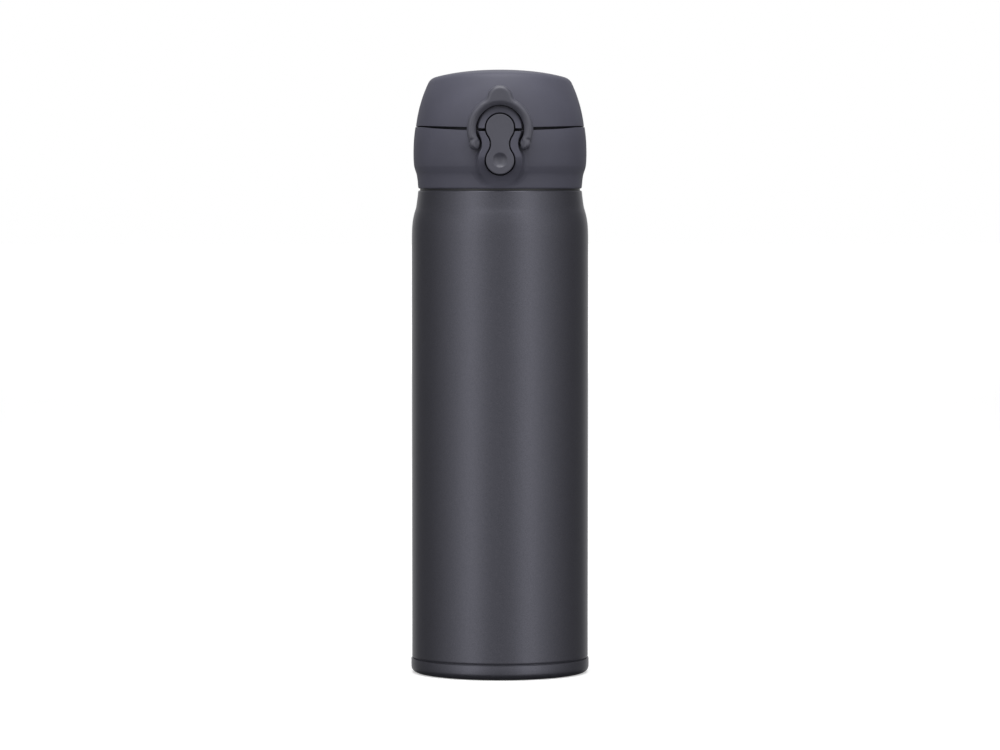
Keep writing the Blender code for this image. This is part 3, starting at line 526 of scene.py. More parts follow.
# ---------- steel bottle
def shoulder_curve():
    """Down from the narrow top: nearly straight, then out to the barrel in one soft sweep."""
    inset_drop = [(2.28, 0.7), (2.03, 2.9), (1.53, 6.2), (0.89, 8.4), (0.43, 10.6), (0.13, 13.0), (0.0, 16.5)]
    return curve_through([(BARREL_RADIUS - inset * MM, JOINT_Z - drop * MM) for inset, drop in inset_drop], 5)


def make_outer_shell():
    """The barrel, whose rolled-in top has a bead and a groove for the stopper's skirt."""
    outer = shoulder_curve()
    wall = 0.35 * MM
    edge = 0.62 * MM
    mouth = 21.3 * MM
    rim = [(outer[0][0] - edge * (1 - math.cos(a)), JOINT_Z - edge * (1 - math.sin(a)))
           for a in np.linspace(math.pi / 2, 0.2, 6)]
    bottom = shell_low.z
    bead = [(26.9, 0.0), (27.05, 0.5), (27.4, 0.62), (27.7, 0.5), (27.8, 0.0)]
    groove = [(28.0, 0.0), (28.02, -0.7), (29.46, -0.7), (29.5, -0.05)]
    top = [(radius * MM, JOINT_Z + rise * MM) for radius, rise in bead + groove]
    outside = [(mouth, JOINT_Z - 0.1 * MM), (mouth + 0.2 * MM, JOINT_Z), *top, *rim, *outer,
               (BARREL_RADIUS, outer[-1][1] - 1.5 * MM), (BARREL_RADIUS, bottom + 0.9 * MM),
               (BARREL_RADIUS, bottom + 0.35 * MM), (BARREL_RADIUS - 0.2 * MM, bottom)]
    inside = [(BARREL_RADIUS - wall, bottom)]
    inside += [(radius - wall, height) for radius, height in reversed(outer)]
    inside += [(29.4 * MM, JOINT_Z - 1.15 * MM), (mouth, JOINT_Z - 1.15 * MM)]
    return spun("outer_shell_visual", outside + inside, BODY_PAINT)


def make_outer_base():
    """The foot ring: a spigot inside the barrel, the rounded ring, and the raised middle with a dimple."""
    spigot = [(31.55, 9.0), (31.55, 5.4), (32.2, 5.4), (32.42, 5.33), (32.5, 5.1), (32.5, 2.4)]
    ring = [(30.2 + 2.3 * math.cos(a), 2.4 - 2.3 * math.sin(a)) for a in np.linspace(0.25, 1.45, 7)]
    under = [(30.0, 0.05), (29.6, 0.0), (28.8, 0.0), (28.2, 0.15), (27.6, 0.8), (27.3, 1.6), (26.9, 2.4),
             (26.0, 2.6), (2.6, 2.6), (2.4, 2.7)]
    above = [(2.4, 3.1), (26.2, 3.1), (27.6, 2.5), (28.3, 0.6), (30.0, 0.5), (31.1, 2.0), (31.1, 9.0)]
    profile = [(radius * MM, height * MM) for radius, height in spigot + ring + under + above]
    return spun("outer_base_visual", profile, BODY_PAINT)


def helix_ridges(name, radius, middle_z):
    """The half-round ridges of a screw thread, which taper off at both ends."""
    count = 70
    shares = [index / count for index in range(count + 1)]
    sizes = [min(1.0, 0.25 + 9 * min(share, 1 - share)) for share in shares]
    meshes = []
    for start in range(THREAD_STARTS):
        points = []
        for share in shares:
            angle = math.tau * (THREAD_TURNS * share + start / THREAD_STARTS) + math.radians(4.5)
            height = middle_z + THREAD_LEAD * THREAD_TURNS * (share - 0.5)
            points.append((radius * math.cos(angle), radius * math.sin(angle), height))
        mesh = wire_mesh(name, points, THREAD_RIDGE, sizes)
        shape = bmesh.new()
        shape.from_mesh(mesh)
        bmesh.ops.remove_doubles(shape, verts=shape.verts, dist=1e-6)
        bmesh.ops.recalc_face_normals(shape, faces=shape.faces)
        shape.to_mesh(mesh)
        shape.free()
        meshes.append(mesh)
    return meshes


def make_inner_vessel():
    """The vessel: a threaded neck, the gasket's seat, a shoulder and a straight wall."""
    neck = 20.6 * MM
    wall = 0.4 * MM
    top = vessel_high.z
    seat = JOINT_Z - 17 * MM
    outer = vessel_high.x
    shoulder = curve_through([
        (18.0 * MM, seat - 2.4 * MM), (19.2 * MM, seat - 3.2 * MM), (25.0 * MM, seat - 5.4 * MM),
        (29.2 * MM, seat - 9.4 * MM), (outer, seat - 15.4 * MM)], 6)
    outside = [(neck + wall, top), (neck + wall, seat), (neck - 0.1 * MM, seat - wall),
               (18.0 * MM, seat - wall), *shoulder]
    bottom = vessel_low.z
    inside = [(outer - 0.3 * MM, bottom)]
    inside += [(radius - 0.3 * MM, height) for radius, height in reversed(shoulder)]
    inside += [(17.6 * MM, seat - wall), (17.8 * MM, seat), (neck - 0.3 * MM, seat),
               (neck, seat + 0.4 * MM), (neck, top)]
    made = spun("inner_vessel_visual", [*outside, (outer, bottom), *inside], STEEL)
    for ridge in helix_ridges("neck_thread", neck, JOINT_Z - 11.2 * MM):
        combine(made, ridge, "UNION")
    return made


# ---------- stopper
def cap_curve():
    """The cover's side: a soft bulge under the parting line, a crease, then the narrower lower band."""
    bulge = [(30.86, 23.05), (31.12, 21.4), (31.42, 18.4), (31.57, 15.2), (31.58, 12.4), (31.49, 10.2),
             (31.36, 8.9)]
    band = [(31.28, 8.5), (30.89, 7.2), (30.44, 5.8), (30.12, 3.8), (29.95, 2.0), (29.86, 1.1)]
    return [curve_through([(r * MM, JOINT_Z + h * MM) for r, h in marks], 4) for marks in (bulge, band)]


def cap_radius_at(z):
    upper, lower = cap_curve()
    points = np.array([*upper, *lower])[::-1]
    return np.interp(z, points[:, 1], points[:, 0])


def fall_near_top(mesh, reach, edge_z):
    """Lets an edge fall with the parting line, and the wall near it by less."""
    place = np.zeros(len(mesh.vertices) * 3)
    mesh.vertices.foreach_get("co", place)
    place = place.reshape(-1, 3)
    share = np.clip(1 - np.abs(place[:, 2] - edge_z) / reach, 0.0, 1.0)
    share = share * share * (3 - 2 * share)
    place[:, 2] += share * (parting(place[:, 1]) - PARTING_Z)
    mesh.vertices.foreach_set("co", place.ravel())


def cap_skin(p):
    """How far a point is outside the cover's outer face."""
    return np.hypot(p[..., 0], p[..., 1]) - cap_radius_at(p[..., 2])


def bezel_face(z):
    """The bezel's face stands upright, then runs back into the cover under the button."""
    start = LOWER_LOBE_Z + 1.4 * MM
    end = LOWER_LOBE_Z - BEZEL_LOBE + 1.0 * MM
    share = np.clip((start - z) / (start - end), 0.0, 1.4)
    return BEZEL_FACE_Y + (-cap_radius_at(end) - BEZEL_FACE_Y) * share**1.35


def bezel_field(p):
    """The bezel, the cover's wall behind it, and the pocket for the button."""
    x, y, z = p[..., 0], p[..., 1], p[..., 2]
    outline = latch_distance(x, z, BEZEL_LOBE, BEZEL_WAIST)
    draft = outline - 0.25 * (y - BEZEL_FACE_Y) * np.clip((PIVOT_Z - z) / (4 * MM), 0.0, 1.0)
    raised = slab(draft, np.maximum(bezel_face(z) - y, y + 28.6 * MM), 0.45 * MM)
    skin = cap_skin(p) + 0.02 * MM
    wall = np.maximum(skin, -skin - 1.65 * MM)
    blend_width = 0.05 * MM + 0.9 * MM * np.clip((PIVOT_Z - z) / (3 * MM), 0.0, 1.0)
    blend_width = blend_width + 1.5 * MM * np.clip((LOWER_LOBE_Z - z) / (4 * MM), 0.0, 1.0)
    grown = smooth_min(raised, wall, blend_width)
    grown = np.maximum(grown, -moat(outline, skin, z))
    block = slab(np.abs(x) - BUTTON_LOBE - BUTTON_GAP - 1.3 * MM, np.abs(z - PIVOT_Z) - 12.5 * MM, 0.4 * MM)
    block = np.maximum(block, np.maximum(y - POCKET_FLOOR_Y - 1.3 * MM, -y - 30.5 * MM))
    block = np.maximum(block, z - PARTING_Z + 3.3 * MM)
    grown = np.minimum(grown, np.maximum(block, skin))
    grown = np.maximum(grown, np.maximum(outline - 3.2 * MM, CAP_BOTTOM_Z + 0.5 * MM - z))
    grown = smooth_max(grown, z - parting(y), 0.3 * MM)
    pocket = latch_distance(x, z, BUTTON_LOBE + BUTTON_GAP, BUTTON_WAIST + BUTTON_GAP)
    return smooth_max(grown, -np.maximum(pocket, y - POCKET_FLOOR_Y), 0.25 * MM)


def ear_field(p):
    """The two hinge ears behind the cover."""
    x, y, z = np.abs(p[..., 0]), p[..., 1], p[..., 2]
    eye = np.hypot(y - HINGE_Y, z - HINGE_Z) - 3.0 * MM
    low_y, low_z = cap_radius_at(HINGE_Z - 9 * MM) - 1.2 * MM, HINGE_Z - 9.5 * MM
    along_y, along_z = HINGE_Y - low_y, HINGE_Z - low_z
    share = np.clip(((y - low_y) * along_y + (z - low_z) * along_z) / (along_y**2 + along_z**2), 0.0, 1.0)
    taper = 0.4 * MM + 2.6 * MM * share
    web = np.hypot(y - low_y - along_y * share, z - low_z - along_z * share) - taper
    web = np.maximum(np.maximum(web, z - PARTING_Z), eye - 20 * MM)
    ears = slab(np.minimum(eye, web), np.abs(x - 8.55 * MM) - 1.35 * MM, 0.35 * MM)
    skin = np.hypot(x, y) - cap_radius_at(z) + 0.04 * MM
    skin = np.maximum(skin, z - PARTING_Z + 0.4 * MM)
    grown = smooth_min(ears, skin, 1.2 * MM)
    knuckle_room = np.maximum(np.hypot(y - HINGE_Y, z - HINGE_Z) - 3.3 * MM, x - 7.2 * MM)
    hole = np.hypot(y - HINGE_Y, z - HINGE_Z) - 1.15 * MM
    grown = np.maximum(np.maximum(grown, -knuckle_room), -hole)
    inside_cut = np.hypot(x, y) - cap_radius_at(z) + 1.3 * MM
    grown = np.maximum(grown, -inside_cut)
    limits = np.maximum(x - 11.4 * MM, HINGE_Z - 12 * MM - z)
    return np.maximum(grown, limits)


def latch_window(skin, depth, floor_y):
    """The hole in a wall that a patch with its part of the latch then fills."""
    reach = BEZEL_LOBE + 3 * MM

    def field(p):
        x, y, z = p[..., 0], p[..., 1], p[..., 2]
        outline = latch_distance(x, z, BEZEL_LOBE + 1.1 * MM, BEZEL_WAIST + 1.1 * MM)
        window = np.maximum(outline, -skin(p) - depth)
        pocket = latch_distance(x, z, BUTTON_LOBE + 2 * BUTTON_GAP, BUTTON_WAIST + 2 * BUTTON_GAP)
        return np.maximum(np.minimum(window, np.maximum(pocket, y - floor_y)), -40 * MM - y)

    return surface_net("latch_window", field, (-reach, -41 * MM, LOWER_LOBE_Z - reach),
                       (reach, -24 * MM, UPPER_LOBE_Z + reach), 0.4 * MM)


def knuckle_room(p):
    """The room in the cover's wall that the lid's knuckle turns in."""
    return rod_distance(p, 3.5 * MM, -7.3 * MM, 7.3 * MM, HINGE_Y, HINGE_Z, 0.1 * MM)


def make_stopper_cover():
    """The stopper's cover: a spun shell with a deck, then the latch patch and the hinge ears."""
    upper, lower = cap_curve()
    edge = 0.3 * MM
    top_rim = [(upper[0][0] - edge * (1 - math.cos(a)), PARTING_Z - edge * (1 - math.sin(a)))
               for a in np.linspace(math.pi / 2, 0.3, 4)]
    bottom = CAP_BOTTOM_Z
    outer = [*top_rim, *upper, *lower, (29.8 * MM, bottom + 0.25 * MM), (29.6 * MM, bottom),
             (28.1 * MM, bottom)]
    deck_z = JOINT_Z + 20.5 * MM
    deck = 1.6 * MM
    hole = 13.4 * MM
    inner = [
        (28.1 * MM, JOINT_Z + 4.2 * MM), (29.3 * MM, JOINT_Z + 9.7 * MM), (29.3 * MM, deck_z - deck),
        (hole, deck_z - deck), (hole, deck_z - 0.3 * MM), (hole + 0.3 * MM, deck_z), (28.1 * MM, deck_z),
        (28.8 * MM, deck_z + 0.5 * MM), (28.8 * MM, PARTING_Z - 0.6 * MM), (29.7 * MM, PARTING_Z - 0.55 * MM),
        (29.72 * MM, PARTING_Z - 0.1 * MM), (29.8 * MM, PARTING_Z)]
    made = spun("stopper_cover_visual", outer + inner, CAP_PLASTIC)
    fall_near_top(made.data, 9 * MM, PARTING_Z)
    combine(made, latch_window(cap_skin, 1.6 * MM, POCKET_FLOOR_Y + 0.4 * MM), "DIFFERENCE")
    room = surface_net("knuckle_room", knuckle_room, (-9 * MM, HINGE_Y - 5 * MM, HINGE_Z - 5 * MM),
                       (9 * MM, HINGE_Y + 5 * MM, HINGE_Z + 5 * MM), 0.35 * MM)
    combine(made, room, "DIFFERENCE")
    span = BEZEL_LOBE + 3.6 * MM
    bezel = surface_net("bezel", bezel_field, (-span, BEZEL_FACE_Y - MM, LOWER_LOBE_Z - span),
                        (span, POCKET_FLOOR_Y + 2 * MM, PARTING_Z + MM), 0.2 * MM)
    combine(made, bezel, "UNION")
    ears = surface_net("ears", ear_field, (-12 * MM, 26 * MM, HINGE_Z - 13 * MM),
                       (12 * MM, HINGE_Y + 4 * MM, HINGE_Z + 4 * MM), 0.25 * MM)
    combine(made, ears, "UNION")
    return made


# ---------- lid
LID_ARC_CENTRE = Vector((-19.54 * MM, PARTING_Z - 5.44 * MM))
LID_ARC_RADIUS = 50.52 * MM
LID_WALL = 1.8 * MM


def lid_side(z, inset):
    return LID_ARC_CENTRE.x - inset + np.sqrt(LID_ARC_RADIUS**2 - (z - LID_ARC_CENTRE.y) ** 2)


def lid_top(x, y, inset):
    """The lid's top falls further towards its sides than towards its front and back."""
    x, y = x / MM, y / MM
    return LID_TOP_Z - inset - (0.00391 * x**2 + 1.85e-6 * x**4 + 0.0024 * y**2 + 0.6e-6 * y**4) * MM


def lid_surface(inset, corner, rim, heading):
    """One face of the lid's wall, as rows of points from the middle of the top down to the rim."""
    x, y = np.cos(heading), np.sin(heading)
    edge_z = np.full_like(heading, PARTING_Z + 18 * MM)
    for _ in range(30):
        edge_r = lid_side(edge_z, inset)
        edge_z = lid_top(edge_r * x, edge_r * y, inset)
    rows = []

    def add(r, z):
        rows.append(np.stack([r * x, r * y, z], -1))

    top_r = edge_r - corner
    for share in np.sin(np.linspace(0, math.pi / 2, 15)[1:]):
        add(top_r * share, lid_top(top_r * share * x, top_r * share * y, inset))
    low_z = edge_z - corner
    start = (top_r, lid_top(top_r * x, top_r * y, inset))
    end = (lid_side(low_z, inset), low_z)
    for share in np.linspace(0, 1, 8)[1:-1]:
        add(*(a * (1 - share) ** 2 + b * 2 * share * (1 - share) + c * share**2
              for a, b, c in zip(start, (edge_r, edge_z), end)))
    floor = lid_floor(lid_side(PARTING_Z, inset) * y)
    for share in np.linspace(0, 1, 22):
        z = low_z + (floor + rim - low_z) * share
        add(lid_side(z, inset), z)
    return rows, floor


def lid_mesh():
    """The lid's wall, closed by a rim whose lip hangs inside the cover."""
    steps = 240
    heading = np.arange(steps) * math.tau / steps
    outer, floor = lid_surface(0.0, 1.7 * MM, 0.3 * MM, heading)
    inner, _ = lid_surface(LID_WALL, 1.0 * MM, 1.3 * MM, heading)
    x, y = np.cos(heading), np.sin(heading)
    edge = []
    lip = None
    for inset, rise in ((0.03, 0.15), (0.1, 0.06), (0.3, 0.0), (2.25, 0.0), (2.3, -0.05), (2.32, lip),
                        (2.7, lip), (2.75, 0.9)):
        r = lid_side(floor, 0.0) - inset * MM
        z = parting(r * y) - 0.8 * MM if rise is lip else floor + rise * MM
        edge.append(np.stack([r * x, r * y, z], -1))
    rows = [*outer, *edge, *reversed(inner)]
    points = np.concatenate([[[0.0, 0.0, LID_TOP_Z]], *rows, [[0.0, 0.0, LID_TOP_Z - LID_WALL]]])
    step = np.arange(steps)
    after = (step + 1) % steps
    faces = [(0, 1 + int(a), 1 + int(b)) for a, b in zip(step, after)]
    for row in range(len(rows) - 1):
        start = 1 + row * steps
        faces += [(int(start + a), int(start + steps + a), int(start + steps + b), int(start + b))
                  for a, b in zip(step, after)]
    start, last = 1 + (len(rows) - 1) * steps, len(points) - 1
    faces += [(last, int(start + b), int(start + a)) for a, b in zip(step, after)]
    mesh = mesh_from("lid", points.tolist(), faces)
    shape = bmesh.new()
    shape.from_mesh(mesh)
    bmesh.ops.recalc_face_normals(shape, faces=shape.faces)
    shape.to_mesh(mesh)
    shape.free()
    return mesh


def lid_skin(p):
    """Roughly how far a point is outside the lid's outer face."""
    return np.hypot(p[..., 0], p[..., 1]) - lid_side(np.minimum(p[..., 2], PARTING_Z + 14 * MM), 0.0)


def moat(outline, skin, z):
    """A narrow groove round the bezel that the lock ring's inner edge stands over."""
    groove = np.maximum(np.maximum(outline - MOAT_WIDTH, -outline), -MOAT_DEPTH - skin)
    return np.maximum(groove, PIVOT_Z + 0.8 * MM - z)


def boss_field(p):
    """The crescent round the button's upper lobe, with the lid's wall behind it."""
    x, y, z = p[..., 0], p[..., 1], p[..., 2]
    outline = latch_distance(x, z, BEZEL_LOBE, BEZEL_WAIST)
    face = BOSS_FACE_Y + 0.14 * np.maximum(z - PIVOT_Z - 6 * MM, -2.5 * MM)
    raised = slab(outline, np.maximum(face - y, y + 29.4 * MM), 0.4 * MM)
    skin = lid_skin(p) + 0.02 * MM
    grown = np.minimum(raised, skin)
    grown = np.maximum(grown, outline - 1.2 * MM)
    grown = np.maximum(grown, -skin - 1.75 * MM)
    grown = np.maximum(grown, -moat(outline, skin, z))
    grown = smooth_max(grown, lid_floor(y) - z, 0.2 * MM)
    pocket = latch_distance(x, z, BUTTON_LOBE + BUTTON_GAP, BUTTON_WAIST + BUTTON_GAP)
    return smooth_max(grown, -np.maximum(pocket, y - BOSS_POCKET_Y), 0.25 * MM)


def knuckle_field(p):
    """The lid's knuckle, which holds the spring, and its web."""
    x, y, z = np.abs(p[..., 0]), p[..., 1], p[..., 2]
    eye = np.hypot(y - HINGE_Y, z - HINGE_Z) - 3.0 * MM
    low_y, low_z = 29.4 * MM, HINGE_Z + 5.6 * MM
    along_y, along_z = HINGE_Y - low_y, HINGE_Z - low_z
    share = np.clip(((y - low_y) * along_y + (z - low_z) * along_z) / (along_y**2 + along_z**2), 0.0, 1.0)
    web = np.hypot(y - low_y - along_y * share, z - low_z - along_z * share) - (0.9 + 1.6 * share) * MM
    solid = slab(smooth_min(eye, web, 0.8 * MM), x - 6.9 * MM, 0.35 * MM)
    skin = np.maximum(lid_skin(p) + 0.05 * MM, PARTING_Z + 1.0 * MM - z)
    grown = smooth_min(solid, skin, 1.4 * MM)
    grown = np.maximum(grown, np.maximum(x - 9.0 * MM, z - HINGE_Z - 9.5 * MM))
    grown = np.maximum(grown, -(lid_skin(p) + 1.3 * MM))
    ring = np.hypot(y - HINGE_Y, z - HINGE_Z)
    grown = np.maximum(grown, -(ring - 1.15 * MM))
    pocket = np.maximum(ring - 2.45 * MM, x - 3.6 * MM)
    slot = np.maximum(x - 3.5 * MM, 2.2 * MM - x)
    slot = np.maximum(slot, np.maximum(y - HINGE_Y, HINGE_Y - 4.2 * MM - y))
    slot = np.maximum(slot, np.abs(z - HINGE_Z) - 2.7 * MM)
    return np.maximum(grown, -np.minimum(pocket, slot))


def make_lid():
    made = smooth(add_object("lid_shell_visual", lid_mesh(), CAP_PLASTIC))
    combine(made, latch_window(lid_skin, 1.7 * MM, BOSS_POCKET_Y), "DIFFERENCE")
    span = BEZEL_LOBE + 2 * MM
    boss = surface_net("boss", boss_field, (-span, BOSS_FACE_Y - MM, PARTING_Z - 4 * MM),
                       (span, -26 * MM, UPPER_LOBE_Z + span), 0.2 * MM)
    combine(made, boss, "UNION")
    knuckle = surface_net("knuckle", knuckle_field, (-10 * MM, 27 * MM, HINGE_Z - 4 * MM),
                          (10 * MM, HINGE_Y + 4 * MM, HINGE_Z + 11 * MM), 0.25 * MM)
    combine(made, knuckle, "UNION")
    return made


# ---------- button and ring
def button_field(p):
    """The rocker: a flat two-lobed plate with a dimple, a bore for its pin and a seat for its spring."""
    x, y, z = p[..., 0], p[..., 1], p[..., 2]
    outline = latch_distance(x, z, BUTTON_LOBE, BUTTON_WAIST)
    crown = 0.12 * MM * ((z - PIVOT_Z) / (10 * MM)) ** 2
    body = slab(outline, np.maximum(BUTTON_FACE_Y + crown - y, y - BUTTON_BACK_Y), 0.35 * MM)
    dimple_radius, dimple_depth = 2.7 * MM, 1.1 * MM
    ball = (dimple_radius**2 + dimple_depth**2) / (2 * dimple_depth)
    centre_y = BUTTON_FACE_Y + dimple_depth - ball
    dimple = np.sqrt(x**2 + (y - centre_y) ** 2 + (z - LOWER_LOBE_Z) ** 2) - ball
    body = smooth_max(body, -dimple, 0.12 * MM)
    pin = np.hypot(y - BUTTON_PIN_Y, z - PIVOT_Z) - 1.05 * MM
    seat = np.maximum(np.hypot(x, z - LOWER_LOBE_Z) - 2.3 * MM, BUTTON_BACK_Y - 1.3 * MM - y)
    return np.maximum(np.maximum(body, -pin), -seat)


def make_button():
    reach = BUTTON_LOBE + MM
    low = (-reach, BUTTON_FACE_Y - MM, LOWER_LOBE_Z - reach)
    high = (reach, BUTTON_BACK_Y + MM, UPPER_LOBE_Z + reach)
    mesh = surface_net("open_button_visual", button_field, low, high, 0.15 * MM)
    return smooth(add_object("open_button_visual", mesh, LATCH_PLASTIC))


def ring_field(p):
    """The lock ring: a plate with a thumb tab, dished towards its bore, and two hooks on studs."""
    x, y, z = p[..., 0], p[..., 1], p[..., 2]
    across = np.abs(x)
    centre_z = PIVOT_Z + 5.2 * MM
    tab_z = PIVOT_Z + 21.0 * MM - 4.6 * MM
    outer = lobes_distance(x, z, centre_z, 11.9 * MM, tab_z, 4.6 * MM, 3.0 * MM)
    from_bore = np.hypot(x, z - centre_z) - 8.6 * MM
    outline = np.maximum(outer, -from_bore)
    outline = np.maximum(outline, PIVOT_Z + 1.2 * MM - z)
    outline = np.maximum(outline, -np.maximum(across - 8.2 * MM, z - PIVOT_Z - 3.0 * MM))
    hook = np.hypot(across - 9.0 * MM, z - PIVOT_Z - 0.1 * MM) - 1.9 * MM
    hook = np.maximum(hook, 8.2 * MM - across)
    outline = smooth_min(outline, hook, 1.4 * MM)
    outer = smooth_min(np.maximum(outer, PIVOT_Z + 1.2 * MM - z), hook, 1.4 * MM)
    rise = np.clip(1.5 * MM + outer, 0.0, 1.5 * MM) / (1.5 * MM)
    bevel = 1.1 * MM * rise**2.2
    inward = np.clip(1.9 * MM - from_bore, 0.0, 1.9 * MM) / (1.9 * MM)
    dish = 1.15 * MM * inward**1.6 * np.clip((z - PIVOT_Z) / (3 * MM), 0.0, 1.0)
    front = RING_FRONT_Y + bevel + dish
    plate = slab(outline, np.maximum(front - y, y - RING_BACK_Y) * 0.9, 0.3 * MM)
    from_stud = np.hypot(y - RING_PIVOT_Y, z - PIVOT_Z)
    knuckle = np.hypot(np.maximum(8.75 * MM - across, 0.0), from_stud) - 1.88 * MM
    knuckle = np.maximum(knuckle, across - 10.2 * MM)
    grown = smooth_min(plate, knuckle, 1.0 * MM)
    clearance = latch_distance(x, z, BEZEL_LOBE + 0.28 * MM, BEZEL_WAIST + 0.28 * MM)
    grown = np.maximum(grown, -np.maximum(clearance, y - RING_PIVOT_Y - 4 * MM))
    grown = np.maximum(grown, y - RING_PIVOT_Y - 1.9 * MM)
    stub = np.maximum(from_stud - 1.2 * MM, across - 8.3 * MM)
    return np.maximum(grown, -stub)


def make_ring():
    mesh = surface_net("lock_ring_visual", ring_field, (-13 * MM, RING_FRONT_Y - MM, PIVOT_Z - 4 * MM),
                       (13 * MM, RING_PIVOT_Y + 3 * MM, PIVOT_Z + 22.5 * MM), 0.2 * MM)
    return smooth(add_object("lock_ring_visual", mesh, LATCH_PLASTIC))


# ---------- inside pieces
def make_spout_insert():
    """The stopper's moulding: spout, flange with the skirt that closes the joint, screw barrel and bore."""
    top, floor = insert_high.z, JOINT_Z + 1.0 * MM
    bottom = insert_low.z
    groove_top = bottom + 5.2 * MM
    spout = [(13.1, top, 1.3), (13.1, top - 2.4 * MM, 0.6), (12.2, top - 3.8 * MM, 0.8),
             (12.2, groove_top + 1.6 * MM, 0.6), (17.8, groove_top + 1.6 * MM, 0.6)]
    flange = [(17.8, floor + 1.6 * MM, 0.4), (28.0, floor + 1.6 * MM, 0.3), (28.0, floor - 0.2 * MM, 0)]
    skirt = [(29.2, floor - 0.25 * MM, 0), (29.2, floor - 1.4 * MM, 0.1), (28.25, floor - 1.4 * MM, 0.1),
             (28.25, floor - 0.7 * MM, 0), (27.9, floor - 0.25 * MM, 0), (27.5, floor, 0)]
    barrel = [(19.4, floor, 0.3), (19.4, groove_top, 0.3), (15.3, groove_top, 0.2),
              (15.3, bottom + 1.6 * MM, 0.2), (17.2, bottom + 1.6 * MM, 0.4), (17.2, bottom, 0.5)]
    bore = [(10.5, bottom, 0.8), (10.5, top, 0.9)]
    corners = [(radius * MM, *corner) for radius, *corner in spout + flange + skirt + barrel + bore]
    made = spun("spout_insert_visual", rounded(corners), INNER_PLASTIC)
    for ridge in helix_ridges("stopper_thread", 19.4 * MM, JOINT_Z - 6.7 * MM):
        combine(made, ridge, "UNION")
    return made


def make_lid_liner():
    """The lid's inner moulding: a cup with a socket for the gasket that closes the spout."""
    roof, under = liner_high.z, liner_high.z - 1.6 * MM
    low = liner_low.z
    spout = insert_high.z
    seat = spout + 2.6 * MM

    def inner_side(z, inset):
        return float(lid_side(z, 2.4 * MM + inset))

    outside = [(0.0, roof, 0), (inner_side(roof, 2.0 * MM), roof, 1.0),
               (inner_side(roof - 1.8 * MM, 0), roof - 1.8 * MM, 1.0),
               (inner_side(roof - 6 * MM, 0), roof - 6 * MM, 0), (inner_side(low, 0), low, 0.3)]
    inside = [(inner_side(low, 1.6 * MM), low, 0.3), (inner_side(roof - 6 * MM, 1.6 * MM), roof - 6 * MM, 0),
              (inner_side(roof, 3.2 * MM), under, 0.8), (16.9 * MM, under, 0.6), (16.9 * MM, spout - 0.4 * MM, 0.5),
              (15.2 * MM, spout - 0.4 * MM, 0.5), (15.2 * MM, seat, 0.4), (0.0, seat, 0)]
    return spun("lid_liner_visual", rounded(outside + inside), INNER_PLASTIC, closed=False)


def make_seal(node, width):
    """A moulded ring with a bead on its outer side, inside the room of its CAD node."""
    low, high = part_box(node)
    outside, middle, quarter = high.x, (low.z + high.z) / 2, (high.z - low.z) / 4
    shallow, deep = outside - 0.7 * MM, outside - 0.9 * MM
    corners = [(outside - width, high.z, 0.4), (deep, high.z, 0.3), (shallow, middle + quarter, 0.3),
               (outside, middle, 0.6), (shallow, middle - quarter, 0.3), (deep, low.z, 0.3),
               (outside - width, low.z, 0.4)]
    return spun(node + "_visual", rounded(corners), SEAL_RUBBER)


def make_pin(node, radius, half, finish):
    """A chamfered pin along X, in the middle of its CAD node."""
    low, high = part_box(node)
    y, z = (low.y + high.y) / 2, (low.z + high.z) / 2
    chamfer = radius * 0.3
    profile = [(0.0, half), (radius - chamfer, half), (radius, half - chamfer), (radius, chamfer - half),
               (radius - chamfer, -half), (0.0, -half)]
    made = spun(node + "_visual", profile, finish, 48, False)
    made.data.transform(Matrix.Translation((0.0, y, z)) @ Matrix.Rotation(math.pi / 2, 4, "Y"))
    return made


def make_coil(name, points, wire):
    """A wire spring along a line of points."""
    return smooth(add_object(name, wire_mesh(name, points, wire), WIRE_STEEL), 50)


def lid_spring_points():
    """A torsion spring round the hinge pin, with a leg at each end."""
    half, radius, leg, turns = 3.0 * MM, 1.85 * MM, 2.4 * MM, 5.5
    points = [(-half, HINGE_Y - leg, HINGE_Z - radius)]
    for share in np.linspace(0, 1, 200):
        y, z = ring_point(radius, share * turns - 0.25)
        points.append((-half + 2 * half * share, HINGE_Y + y, HINGE_Z + z))
    return [*points, (half, HINGE_Y - leg, HINGE_Z + radius)]


def button_spring_points():
    """A coil behind the button's lower lobe, as long as its CAD node."""
    low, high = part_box("button_spring")
    start, end, radius, turns = low.y + 0.25 * MM, high.y - 0.25 * MM, 1.75 * MM, 3.5
    points = []
    for share in np.linspace(0, 1, 120):
        x, z = ring_point(radius, share * turns)
        points.append((x, start + (end - start) * share, LOWER_LOBE_Z + z))
    return points


